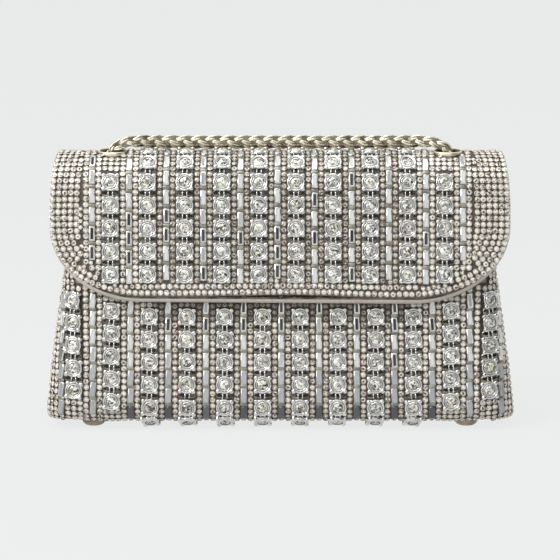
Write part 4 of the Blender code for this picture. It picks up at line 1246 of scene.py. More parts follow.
def lining_cloth(name):
    """Plain weave with a soft sheen."""
    base = tuple(bpy.context.scene.bag_leather.lining)
    made = Finish(name, base, 0.62, 0.0, Sheen_Weight=0.4)
    parts = made.node("SeparateXYZ", {"Vector": made.place()}).outputs
    sideways = made.node("Math", {0: parts["X"], 1: parts["Y"]}, operation="ADD").outputs[0]
    where = made.node("CombineXYZ", {"X": sideways, "Y": parts["Z"]}).outputs[0]
    threads = []
    for direction in ("X", "Y"):
        wave = made.node("TexWave", {"Vector": where, "Scale": 520.0}, bands_direction=direction)
        threads.append(wave.outputs["Fac"])
    weave = made.node("Math", {0: threads[0], 1: threads[1]}, operation="MAXIMUM").outputs[0]
    yarn = made.mix(weave, shade(base, 0.66), shade(base, 1.12))
    made.patches(made.noise(26), 0.35, 0.65, yarn, shade(base, 0.9), 0.4)
    made.bump(weave, 0.0001)
    return made.made


def edge_paint(name):
    """Dark brown paint along the cut edge of the flap, darkened as a painted shadow line between the
    stones and the edge.
    """
    shades = (0.06, 0.035, 0.028), (0.20, 0.14, 0.11)
    return patchy(name, (0.10, 0.06, 0.045), 0.45, 0.0, (180,), (0.4, 0.62), shades)


def thread(name):
    """Twisted sewing thread."""
    base = tuple(bpy.context.scene.bag_leather.thread)
    made = Finish(name, base, 0.6)
    made.put("Base Color", made.mix(made.noise(2600, 1.0), shade(base, 0.75), shade(base, 1.1)))
    return made.made


def pale_gold(name):
    """Pale gold plate, rubbed brighter in patches."""
    base = tuple(bpy.context.scene.bag_chain.gold)
    shades = shade(base, 0.82), shade(base, 1.15)
    return patchy(name, base, 0.3, 1.0, (120,), (0.36, 0.66), shades, (0.40, 0.26))


def antique_metal(name):
    """Antique brass, darker in patches. It also stands as painted shade in the chain's core and in
    the eyelets' bores.
    """
    shades = (0.13, 0.105, 0.075), (0.34, 0.30, 0.23)
    base = (0.26, 0.22, 0.16)
    return patchy(name, base, 0.34, 1.0, (240, 4.0), (0.36, 0.66), shades, (0.46, 0.26))


def pressed_board(name):
    """Grey-brown board with flecks."""
    made = Finish(name, (0.34, 0.27, 0.2), 0.85)
    flecks = made.noise(700, 5.0)
    made.patches(flecks, 0.4, 0.6, (0.26, 0.2, 0.145), (0.42, 0.34, 0.25))
    made.bump(flecks, 0.0001)
    return made.made


CRYSTAL_FINISHES = (("cup_metal", cup_metal), ("champagne_crystal", champagne_crystal))
SETTING_FINISHES = (
    ("silver_plate", silver),
    ("clear_crystal", clear_crystal),
    ("dark_slot", dark_slot),
    ("dull_metal", dull_metal),
)
BAR_FINISHES = (("silver_plate", silver), ("mirror", mirror), ("dull_metal", dull_metal))


def several(pairs):
    """The materials for (name, builder) pairs."""
    return [finish(name, build) for name, build in pairs]


# Patterns


class Bed:
    """Keeps small stones clear of each other and of the larger pieces."""

    def __init__(self, least, cell=0.003):
        self.least = least
        self.cell = cell
        self.taken = {}
        self.blocks = []
        self.rounds = []

    def block(self, x, y, half_width, half_length):
        """Keeps an oblong clear."""
        self.blocks.append((x, y, half_width, half_length))

    def free(self, x, y, radius):
        """Whether a stone fits here."""
        for bx, by, w, h in self.blocks:
            if abs(x - bx) < w + radius and abs(y - by) < h + radius:
                return False
        for cx, cy, r in self.rounds:
            if math.hypot(x - cx, y - cy) < r + radius:
                return False
        i, j = math.floor(x / self.cell), math.floor(y / self.cell)
        for a in (i - 1, i, i + 1):
            for b in (j - 1, j, j + 1):
                for px, py in self.taken.get((a, b), ()):
                    if math.hypot(x - px, y - py) < self.least:
                        return False
        return True

    def take(self, x, y, radius):
        """Sets a stone here if it fits."""
        if not self.free(x, y, radius):
            return False
        key = (math.floor(x / self.cell), math.floor(y / self.cell))
        self.taken.setdefault(key, []).append((x, y))
        return True


def flap_squares():
    """Each square column of the flap: its x and the distances of its settings."""
    first = (FLAP_RADIUS + LINK_LEVEL) * (math.pi / 2 + FIRST_SQUARE_ANGLE)
    columns = []
    for k, x in enumerate(centred(FLAP_COLUMNS, FLAP_COLUMN_PITCH)):
        skipped = 2 if k in (0, FLAP_COLUMNS - 1) else 0
        distances = []
        for row in range(skipped, 7):
            travel = flap_travel(first + row * FLAP_SQUARE_PITCH, LINK_LEVEL)
            distances.append(flap_distance(travel, DATUM))
        columns.append((x + FLAP_PATTERN_SHIFT, distances))
    return columns


def flap_bars():
    """Each bar column of the flap: its x and the distances of its bars."""
    lowest = flap_distance(FLAP_LENGTH, DATUM) - LOWEST_BAR
    columns = []
    for k, x in enumerate(centred(FLAP_COLUMNS + 1, FLAP_COLUMN_PITCH)):
        rows = range(1, 7) if k in (0, FLAP_COLUMNS) else range(9)
        top = lowest - BAR_STAGGER * (0.5 + 0.5 * math.sin(2.4 * k + 2.0))
        columns.append((x + FLAP_PATTERN_SHIFT, [top - row * FLAP_BAR_PITCH for row in rows]))
    return columns


def edge_row(number, pitch):
    """Places of one row of stones along the flap's free edge, from the middle outwards.

    At the sides the first row lies on the binding; along the bottom it lies beside it.
    """
    steps, fade_start, fade_length = 18, 0.2, 0.6
    side, bottom = (
        flap_outline(inset, FLAP_MESH_START, corner_steps=steps)
        for inset in (number * FLAP_SIDE_ROW_PITCH - EDGE_OVERLAP, number * pitch + FLAP_LOWEST_ROW)
    )
    first = len(side) - steps
    half = []
    for k, ((xa, ta), (xb, tb)) in enumerate(zip(side, bottom)):
        share = min(max(((k - first) / steps - fade_start) / fade_length, 0), 1)
        share = share * share * (3 - 2 * share)
        half.append((xa + (xb - xa) * share, flap_distance(ta + (tb - ta) * share, DATUM)))
    half.append((0, half[-1][1]))
    half = np.array(half[::-1])
    run = runs(half)
    places = np.arange(0.5 * pitch * (number % 2), run[-1], pitch)
    xs, ys = np.interp(places, run, half[:, 0]), np.interp(places, run, half[:, 1])
    row = [(float(x), float(y)) for x, y in zip(xs, ys)]
    return row + [(-x, y) for x, y in row if x > GAP]


def flap_stones(sizes):
    """Places of the flap's stones, edge rows first, and of the smaller ones that fill the rest."""
    pitch, radius = sizes.stone_pitch, sizes.stone_radius * 0.95
    bed = Bed(pitch * 0.9)
    for x, distances in flap_squares():
        top, bottom = distances[0] - SQUARE / 2, distances[-1] + SQUARE / 2
        bed.block(x, (top + bottom) / 2, SQUARE / 2, (bottom - top) / 2)
    for x, distances in flap_bars():
        reach = sizes.bar_length / 2
        top, bottom = distances[-1] - reach, distances[0] + reach
        bed.block(x, (top + bottom) / 2, sizes.bar_width / 2, (bottom - top) / 2)
    eyelet = (FLAP_RADIUS + DATUM) * (math.pi / 2 + EYELET_TILT)
    bed.rounds = [(side * EYELET_X, eyelet, EYELET_FLANGE) for side in (-1, 1)]
    total = flap_distance(FLAP_LENGTH, DATUM)
    wanted = edge_row(0, pitch) + edge_row(1, pitch)
    columns = [x for x, distances in flap_bars()]
    columns += [columns[0] - BESIDE_BAR, columns[-1] + BESIDE_BAR]
    for x, distances in flap_squares():
        columns += [x - FLAP_BESIDE_SQUARE, x + FLAP_BESIDE_SQUARE]
        columns += [x - UNDER_SQUARE, x, x + UNDER_SQUARE]
    for x in sorted(columns, key=abs):
        rows = [total - FLAP_LOWEST_ROW - (row + 2) * pitch for row in range(60)]
        wanted += [(x, y) for y in rows if y > FLAP_MESH_START]
    for k in range(2, 9):
        wanted += edge_row(k, pitch)
    stones = [(x, y) for x, y in wanted if bed.take(x, y, radius)]
    widths, travels = zip(*flap_outline(0.0006, FLAP_MESH_START))
    step = pitch / 5
    fill = []
    for least, share in ((pitch * 0.9, 0.95), (pitch * 0.78, 0.62)):
        bed.least = least
        for y in np.arange(total - FLAP_LOWEST_ROW, FLAP_MESH_START, -step):
            reach = float(np.interp(flap_travel(y, DATUM), travels, widths))
            for k in range(int(reach / step)):
                for x in (k * step - reach, reach - k * step):
                    if bed.take(x, y, sizes.stone_radius * share):
                        fill.append((x, y))
    return stones, fill


def body_columns(sizes):
    """Square columns and bar columns of the front, and the spots of its small stones."""
    pitch = sizes.stone_pitch
    span = (BODY_MESH_TOP - MESH_MARGIN, BODY_MESH_BOTTOM)
    squares, bars, stones = [], [], []
    places = [x + BODY_PATTERN_SHIFT for x in centred(BODY_COLUMNS, BODY_COLUMN_PITCH)]
    for k, x in enumerate(places):
        from_side = min(k, BODY_COLUMNS - 1 - k)
        column = Column(x, 0, *span)
        start = column.drop_of(SQUARE_TOPS[min(from_side, 2)])
        rows = 5 if from_side < 2 else 6
        squares.append((column, [start + row * BODY_SQUARE_PITCH for row in range(rows)]))
        top, bottom = start - SQUARE / 2, squares[-1][1][-1] + SQUARE / 2
        for beside in (-UNDER_SQUARE, 0, UNDER_SQUARE):
            stones.append((Column(x, beside, *span), top, bottom))
        for beside in (-BODY_BESIDE_SQUARE, BODY_BESIDE_SQUARE):
            if from_side or x * beside < 0:
                stones.append((Column(x, beside, *span), None, None))
    for x in centred(BODY_COLUMNS - 1, BODY_COLUMN_PITCH):
        column = Column(x + BODY_PATTERN_SHIFT, 0, *span)
        start = column.drop_of(OUTER_BAR_TOP if abs(x) > 0.09 else BAR_TOP)
        bars.append((column, [start + row * BODY_BAR_PITCH for row in range(7)]))
    for side, x in ((-1, places[0]), (1, places[-1])):
        column = Column(x, side * BODY_EDGE_BAR, *span)
        start = column.drop_of(EDGE_BAR_TOP)
        bars.append((column, [start + row * BODY_BAR_PITCH for row in range(7)]))
        for beside in OUTER_STONES:
            column = Column(x, side * beside, SIDE_STONES_TOP, BODY_MESH_BOTTOM, limit=SIDE_LIMIT)
            stones.append((column, None, None))
        for beside in UPPER_STONES:
            column = Column(x, side * beside, SIDE_STONES_TOP, BODY_MESH_TOP)
            stones.append((column, None, None))
    reach = sizes.bar_length / 2
    for column, drops in bars:
        stones.append((column, drops[0] - reach, drops[-1] + reach))
    small = []
    for column, top, bottom in stones:
        drops = np.arange(FIRST_STONE, column.length, pitch)
        if top is not None:
            above = np.arange(top - STONE_CLEARANCE, 0, -pitch)
            below = np.arange(bottom + STONE_CLEARANCE, column.length, pitch)
            drops = [*above, *below]
        for drop in drops:
            if abs(float(np.interp(drop, column.drops, column.turns))) < FRONT_STONE_LIMIT:
                small.append(column.spot(drop))
    return squares, bars, small


def back_stones(sizes):
    """Spots of the small stones on the back."""
    pitch = sizes.stone_pitch
    spots = []
    for k in range(-42, 43):
        column = Column(0, 0, BACK_MESH_TOP - 0.0010, BODY_MESH_BOTTOM, back=True)
        column.turns = [turn_of(k * pitch, z) for z in column.heights]
        for row in range(60):
            drop = 0.0006 + row * pitch
            if drop > column.length:
                break
            turn = float(np.interp(drop, column.drops, column.turns))
            if abs(turn) < BACK_STONE_LIMIT:
                spots.append(column.spot(drop))
    return spots


def flap_dark_reflection_share(place):
    """Chance of a bar with a painted dark reflection on the flap, which is high at the upper left.
    """
    return 0.75 if place.x < 0.004 and 0.079 < place.z < 0.108 else 0.07


def front_painted_shade_share(place):
    """Chance of a bar with painted shade on the front, which is high just below the flap."""
    return 0.8 if place.z > 0.047 and abs(place.x) < 0.06 else 0.06


def front_stone_painted_shade(place, normal):
    """How much of its brightness a stone of the front keeps, as painted shade: least in the painted
    shadow under the flap's edge.
    """
    if abs(place.x) >= 0.065 or normal.y >= -0.5:
        return 1
    return 0.25 if place.z > 0.0545 else 0.76


def painted_bar_reflections(chance, spots, painted_dark_share):
    """A tone for each mirror bar, black, bright or in between: painted reflections, and painted
    shade on the lowest bars.
    """
    tones = []
    for point, _, _, normal in spots:
        facing = max(0, -normal.y) ** 2
        roll = chance.random()
        if point.z < PLAIN_BAR_TOP and normal.y < 0:
            # Bars low on the front get a grey painted reflection, and the lowest a darker painted
            # shade.
            lowest = point.z < 0.017 and abs(point.x) < 0.087
            tones.append(chance.uniform(0.30, 0.38) if lowest else chance.uniform(0.54, 0.62))
        # Bars that face the front more take a painted dark reflection more often.
        elif roll < painted_dark_share(point) * facing:
            tones.append(chance.uniform(0.0, 0.15))
        elif roll < 0.82:
            tones.append(chance.uniform(0.7, 0.95))
        else:
            tones.append(chance.uniform(0.5, 0.62))
    return tones


# Pieces


def loop_turns():
    """Turns round half of the body, from side centre to side centre."""
    half = [0, 0.25, 0.5, 0.75] + [1 + k / 8 for k in range(9)] + [2.2, 2.4, 2.6, 2.8]
    return [-3] + [-t for t in reversed(half)] + half[1:] + [3]


def body_loop(z, level, puff=0.0):
    """A ring of points round the body. puff lets the sides swell."""
    ring = []
    turns = loop_turns()
    for back, order in ((False, turns), (True, turns[::-1][1:-1])):
        for turn in order:
            swell = puff * (1 - (3 - abs(turn)) ** 2) if abs(turn) > 2 else 0
            ring.append(body_at(turn, z, level + swell, back))
    return ring


def seam_spots(turn, low, high, pitch, back):
    """Spots for stitches up a side seam."""
    count = int((high - low) / pitch)
    return [body_spot(turn, low + k * pitch, back) for k in range(count + 1)]


def sew(name, spots, level, body, seed):
    """Stitches on spots, in one mesh."""
    row = Cluster(name, [finish("thread", thread)], seed)
    row.add(stitch_form(), spots, level)
    settle(row.build(), body)


def build_leather_shell():
    """Body of the bag: one lofted shell with swelling sides, and its stitched side seams."""
    hide = finish("champagne_leather_grain", champagne_leather)
    heights = body_drops(MOUTH_HEIGHT, FOOT_HEIGHT)
    rings = []
    for z in reversed(heights):
        share = (z - FOOT_HEIGHT) / (MOUTH_HEIGHT - FOOT_HEIGHT)
        rings.append(body_loop(z, 0, SIDE_SWELL * math.sin(math.pi * share)))
    rings += [body_loop(z, -LEATHER) for z in heights]
    shell = loft("leather_shell", rings, False, [hide])
    nodes = ("front_panel", "back_panel", "left_gusset", "right_gusset", "base_panel")
    settle(shell, "bag_body", nodes)
    spots = []
    for side in (-1, 1):
        for back in (False, True):
            spots += seam_spots(side * SEAM_TURN, 0.012, 0.112, STITCH_PITCH, back)
    sew("side_seam_stitches", spots, STITCH_LEVEL, "bag_body", 3)
    for side, name in SIDES:
        for back, end in FACES:
            heights = body_drops(*PIPING_ENDS)
            path = [body_at(side * PIPING_TURN, z, 0.0001, back) for z in heights]
            piping = wire(f"side_piping_{name}_{end}", path, PIPING_RADIUS, 8, (side, 0, 0), [hide])
            settle(piping, "bag_body")


def build_lining():
    """Lining tub, folded mouth binding and its stitches."""
    cloth = finish("lining_weave", lining_cloth)
    edge = finish("taupe_leather_grain", taupe_leather)
    heights = body_drops(MOUTH_HEIGHT, FOOT_HEIGHT)
    outer = [body_loop(z, BODY_INSIDE + LINING_THICKNESS) for z in reversed(heights)]
    inner = []
    for z in heights:
        ring = []
        for p in body_loop(z, BODY_INSIDE):
            ring.append(p + Vector((0, -math.copysign(0.0002, p.y), 0)) * math.sin(p.x * 300) ** 2)
        inner.append(ring)
    tub = loft("lining_tub", outer + inner, False, [cloth])
    settle(tub, "bag_body", ("lining",))
    top = HINGE_HEIGHT
    foot = top - BINDING_HEIGHT
    outside = GAP + BINDING_WALL
    inside = BODY_INSIDE - GAP - BINDING_WALL
    curl = 0.0008
    bend = 0.25 * curl
    within = inside + BINDING_WALL
    section = [(outside, foot), (outside + 0.00015, foot + 0.0004), (outside, foot + 0.0010)]
    section += [(outside, top - curl), (outside - bend, top - bend), (outside - curl, top)]
    section += [(inside + curl, top), (inside + bend, top - bend), (inside, top - curl)]
    section += [(inside, foot), (within, foot), (within, top - BINDING_WALL)]
    section += [(GAP, top - BINDING_WALL), (GAP, foot)]
    rings = [body_loop(z, level) for level, z in section]
    binding = loft("mouth_edge", rings, True, [edge])
    settle(binding, "bag_body", ("mouth_binding",))
    spots = []
    height = 0.1152
    for back in (False, True):
        for arc in np.arange(-0.104, 0.1041, STITCH_PITCH):
            point, across, along, normal = body_spot(turn_of(float(arc), height), height, back)
            spots.append((point, -along, across, normal))
    sew("mouth_stitches", spots, outside, "bag_body", 5)


def flap_layer(name, top, thickness, inset, finishes, start=GAP, holes=0.0):
    """One soft layer of the flap, with holes for the eyelets."""
    shares = [k / 12 for k in range(-12, 13)]
    grids = []
    for level in (top, top - thickness):
        grid = []
        for half, travel in flap_outline(inset, start):
            grid.append([flap_at(half * share, travel, level) for share in shares])
        grids.append(grid)
    layer = plate(name, *grids, finishes)
    if holes:
        for side in (-1, 1):
            pierce(layer, eyelet_spot(side), holes)
    return layer


def eyelet_spot(side):
    """Where an eyelet sits on the crest."""
    point, normal, tangent = flap_frame(FLAP_RADIUS * (math.pi / 2 + EYELET_TILT))
    return Vector((side * EYELET_X, point.y, point.z)), (-tangent).cross(normal), -tangent, normal


def build_flap_leather():
    """Flap: outer leather, lining, rounded edge, and the leather hinge at the back."""
    hide = finish("taupe_leather_grain", taupe_leather)
    cloth = finish("lining_weave", lining_cloth)
    shell = flap_layer("flap_leather", 0, LEATHER, 0, [hide], holes=EYELET_HOLE)
    settle(shell, "flap", ("flap_shell",))
    level = FLAP_INSIDE + FLAP_LINING
    lining = flap_layer("flap_cloth", level, FLAP_LINING, 0, [cloth], holes=EYELET_HOLE)
    settle(lining, "flap", ("flap_lining",))
    half = flap_outline()
    edge = half + [(-x, travel) for x, travel in reversed(half)]
    middle, reach = (FLAP_INSIDE + BEADING_LEVEL) / 2, (BEADING_LEVEL - FLAP_INSIDE) / 2
    section, line = [], []
    for a in np.linspace(0, math.pi, 13):
        section.append((GAP + FLAP_EDGE_WIDTH * math.sin(a), middle - reach * math.cos(a)))
    for a in np.linspace(0, 5.2, 6):
        out, level = PAINT_RADIUS * math.cos(a), PAINT_RADIUS * math.sin(a)
        line.append((PAINT_OUT + out, PAINT_LEVEL + level))
    rings, line_rings = [], []
    for k, (x, travel) in enumerate(edge):
        before = Vector(edge[max(k - 1, 0)])
        after = Vector(edge[min(k + 1, len(edge) - 1)])
        along = (after - before).normalized()
        out = Vector((along.y, -along.x))
        if k in (0, len(edge) - 1):
            out = Vector((math.copysign(1, x), 0))
        rings.append([flap_at(x + out.x * q, travel + out.y * q, level) for q, level in section])
        line_rings.append([flap_at(x + out.x * q, travel + out.y * q, level) for q, level in line])
    binding = loft("flap_edge", rings, False, [finish("edge_leather", edge_leather)])
    settle(binding, "flap", ("flap_binding",))
    # Edge paint that also serves as a painted shadow line under the stones.
    paint = loft("flap_edge_paint_and_painted_shadow", line_rings, False, [finish("edge_paint", edge_paint)])
    settle(paint, "flap")
    # The strip lies on the body, then over the mouth binding, then on the flap.
    lower = [(float(z), 0.0006) for z in np.linspace(0.1122, 0.1138, 3)]
    lower += [(float(z), 0.0014) for z in np.linspace(0.1144, HINGE_HEIGHT, 5)]
    places = [k / 12 * HINGE_HALF_LENGTH for k in range(-12, 13)]
    grids = []
    for lift in (HINGE_THICKNESS, 0.0):
        grid = []
        for z, level in lower:
            grid.append([body_at(turn_of(x, z), z, level + lift, back=True) for x in places])
        for travel in np.linspace(0.0004, 0.0038, 5):
            grid.append([flap_at(x, float(travel), 0.0008 + lift) for x in places])
        grids.append(grid)
    hinge = plate("hinge_leather", *grids, [hide])
    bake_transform(hinge)
    spots = []
    inset = flap_outline(FLAP_STITCH_INSET)
    line = inset + [(-x, t) for x, t in reversed(inset)]
    points = [flap_at(x, t, FLAP_INSIDE) for x, t in line]
    path, _ = smooth_line(points, STITCH_PITCH)
    for a, b in zip(path, path[1:]):
        a, b = Vector(a), Vector(b)
        near = min(range(len(points)), key=lambda k: (points[k] - a).length)
        normal = -flap_frame(line[near][1])[1]
        along = (b - a).normalized()
        across = along.cross(normal).normalized()
        spots.append((a, across, along, across.cross(along)))
    sew("flap_lining_stitches", spots, STITCH_LEVEL, "flap", 7)


def set_stones(name, groups, body, seed):
    """Small stones in one mesh.

    A group has its stones' share of full size, their spots and the shares of tone that they keep as
    painted shade.
    """
    sizes = bpy.context.scene.bag_crystals
    stones = Cluster(name, several(CRYSTAL_FINISHES), seed)
    for size, spots, shares in groups:
        form = stone_form(sizes, size)
        stones.add(form, spots, STONE_LEVEL, spin=True, tilt=STONE_TILT, shares=shares)
    settle(stones.build(), body)


def set_bars(name, columns, painted_dark_share, body, seed):
    """Mirror bars with spacers. A column has its places and a function that gives their spots."""
    sizes = bpy.context.scene.bag_crystals
    bars = Cluster(name, several(BAR_FINISHES), seed)
    spots = [spot(place) for places, spot in columns for place in places]
    gaps = [spot(place) for places, spot in columns for place in middles(places)]
    # Each bar's tone is its painted reflection or painted shade.
    tones = painted_bar_reflections(bars.chance, spots, painted_dark_share)
    for rim in (0, 1):
        chosen = [k for k, spot in enumerate(spots) if (spot[0].z < PLAIN_BAR_TOP) == rim]
        own = [tones[k] for k in chosen]
        framed = [spots[k] for k in chosen]
        bars.add(bar_form(sizes, rim), framed, STONE_LEVEL, tilt=BAR_TILT, own_tones=own)
    bars.add(spacer_form(), gaps, STONE_LEVEL)
    settle(bars.build(), body)


def build_flap_stones():
    """Flap's stone bed, its small stones and its mirror bars."""
    woven = [finish("stone_bed", stone_bed)]
    bed = flap_layer("flap_stone_bed", BED_TOP, BED_THICKNESS, BED_INSET, woven, BED_START, BED_HOLE)
    settle(bed, "flap", ("flap_crystal_mesh",))
    rows, fill = flap_stones(bpy.context.scene.bag_crystals)
    total = flap_distance(FLAP_LENGTH, DATUM)
    # Stones in the flap's middle keep half their tone: painted shade.
    shares = [0.5 if abs(x) < 0.06 and 0.03 < y < total - 0.008 else 1 for x, y in rows]
    full, small = ([flap_spot(x, y) for x, y in places] for places in (rows, fill))
    set_stones("flap_stones", ((1.0, full, shares), (0.78, small, None)), "flap", 11)
    columns = [(distances, partial(flap_spot, x)) for x, distances in flap_bars()]
    set_bars("flap_mirror_bars", columns, flap_dark_reflection_share, "flap", 12)


def body_bed(name, turns, top, back, node):
    """The cloth under the stones, from the first turn to the last."""
    heights = body_drops(top, BODY_MESH_BOTTOM)
    grids = []
    for level in (BED_TOP, BED_TOP - BED_THICKNESS):
        grids.append([[body_at(t, z, level, back) for t in turns] for z in heights])
    bed = plate(name, *grids, [finish("stone_bed", stone_bed)])
    settle(bed, "bag_body", (node,))


def build_front_stones():
    """Front's stone bed, its small stones and its mirror bars."""
    turns = [-1.42, -1.2, -1, -0.5, 0, 0.5, 1, 1.2, 1.42]
    body_bed("front_stone_bed", turns, BODY_MESH_TOP, False, "front_crystal_mesh")
    for side, end in SIDES:
        turns = [side * t for t in (1.42, 1.6, 1.8, BED_TURN)]
        body_bed(f"front_side_bed_{end}", turns, SIDE_STONES_TOP, False, "front_crystal_mesh")
    _, bars, small = body_columns(bpy.context.scene.bag_crystals)
    # Painted shade on the front's stones, deepest as a painted shadow under the flap's edge.
    shares = [front_stone_painted_shade(point, normal) for point, _, _, normal in small]
    set_stones("front_stones", ((1.0, small, shares),), "bag_body", 21)
    columns = [(drops, column.spot) for column, drops in bars]
    set_bars("front_mirror_bars", columns, front_painted_shade_share, "bag_body", 22)


def build_back_stones():
    """Back's stone bed and its plain field of small stones."""
    half = [0.5, 1, 1.2, 1.4, 1.6, 1.8, BED_TURN]
    turns = [-turn for turn in reversed(half)] + [0] + half
    body_bed("back_stone_bed", turns, BACK_MESH_TOP, True, "back_crystal_mesh")
    spots = back_stones(bpy.context.scene.bag_crystals)
    for seed, (side, name) in enumerate(SIDES, 31):
        near = [spot for spot in spots if (spot[0].x >= 0) == (side > 0)]
        set_stones(f"back_stones_{name}", ((1.0, near, None),), "bag_body", seed)


def square_chain(part, number, places, spot, body, seed):
    """One hanging chain of square settings. spot gives the spot at each of its places."""
    chain = Cluster(f"{part}_square_chain_{number:02d}", several(SETTING_FINISHES), seed + number)
    chain.add(square_form(), [spot(p) for p in places], SQUARE_LEVEL, tilt=SQUARE_TILT)
    chain.add(link_form(LINK_REACH), [spot(p) for p in middles(places)], SQUARE_LEVEL + LINK_LIFT)
    settle(chain.build(), body, (f"{part}_crystal_chain_{number:02d}",))


def build_square_chains():
    """Hanging chains of square settings on the flap and on the front."""
    for k, (x, distances) in enumerate(flap_squares(), 1):
        square_chain("flap", k, distances, partial(flap_spot, x), "flap", 40)
    squares = body_columns(bpy.context.scene.bag_crystals)[0]
    for k, (column, drops) in enumerate(squares, 1):
        square_chain("front", k, drops, column.spot, "bag_body", 60)


def plait(name, route, finishes):
    """Three strands of paired wires, plaited along a route round a dark core that paints the shade
    inside the plait.
    """
    sizes = bpy.context.scene.bag_chain
    line, run = smooth_line(route, CHAIN_STEP)
    tangent = np.gradient(line, axis=0)
    tangent /= np.linalg.norm(tangent, axis=1)[:, None]
    facing = np.array((0.0, -1.0, 0.0))
    lift = facing - tangent * (tangent @ facing)[:, None]
    lift /= np.linalg.norm(lift, axis=1)[:, None]
    side = np.cross(lift, tangent)
    distance = np.linspace(0, run, len(line))
    period = sizes.bump_pitch * 3
    rings, faces = [], []
    sides = 6
    for strand in range(3):
        angle = 2 * math.pi * (distance / period + strand / 3)
        swing = sizes.side_reach * np.sin(angle)
        rise = sizes.lift_reach * np.sin(2 * angle)
        slope = np.gradient(swing, distance)
        turn = 1 / np.sqrt(1 + slope**2)
        apart = sizes.pair_gap / 2 * (0.35 + 0.65 * np.abs(np.sin(angle)))
        for way in (-1, 1):
            sideways = side * (swing + way * apart * turn)[:, None]
            backwards = tangent * (way * apart * slope * turn)[:, None]
            path = line + (sideways - backwards) + lift * rise[:, None]
            rings.append(tube_rings(path, sizes.wire_radius, sides, lift))
    # A dark core fills the plait with painted shade.
    core = tube_rings(line, sizes.wire_radius * PAINTED_SHADE_CORE_THICKNESS, sides, lift)
    across = np.sum((core - line[:, None]) * side[:, None], axis=2, keepdims=True)
    rings.append(core + side[:, None] * across * PAINTED_SHADE_CORE_WIDTH)
    points = np.concatenate([r.reshape(-1, 3) for r in rings])
    for k in range(len(rings)):
        faces += ring_faces(len(line), sides, start=k * len(line) * sides)
    made = skin(name, points, faces, finishes, 60)
    for face in made.data.polygons[-len(faces) // len(rings) :]:
        face.material_index = 1
    return made, line, run


def build_chain_strap():
    """Plaited chain: two runs over the crest, and the runs that hang inside."""
    finishes = several((("pale_gold_plate", pale_gold), ("antique_brass", antique_metal)))
    for name, half, node in (
        ("strap_front_run", FRONT_STRAND, "strap_top_front"),
        ("strap_back_run", BACK_STRAND, "strap_top_back"),
    ):
        route = half + tuple((-x, y, z) for x, y, z in reversed(half[:-1]))
        run, line, reach = plait(name, route, finishes)
        settle(run, "flap", (node,))
        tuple(route[0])
        [tuple(p) for p in line]
    inner = (
        ("strap_left_drop", LEFT_DROP, "strap_end_left", "d_ring_left", *RING_BLEND),
        ("strap_left_rise", LEFT_RISE, "strap_end_left", "flap", *FLAP_BLEND),
        ("strap_right_drop", RIGHT_DROP, "strap_end_right", "d_ring_right", *RING_BLEND),
        ("strap_right_rise", RIGHT_RISE, "strap_end_right", "flap", *FLAP_BLEND),
        ("strap_bight_run", BIGHT, "strap_bight", "flap", *FLAP_BLEND),
    )
    for name, route, node, body, low, high in inner:
        run, line, reach = plait(name, route, finishes)
        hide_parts(node)
        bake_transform(run)
        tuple(route[0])
        [tuple(p) for p in line]


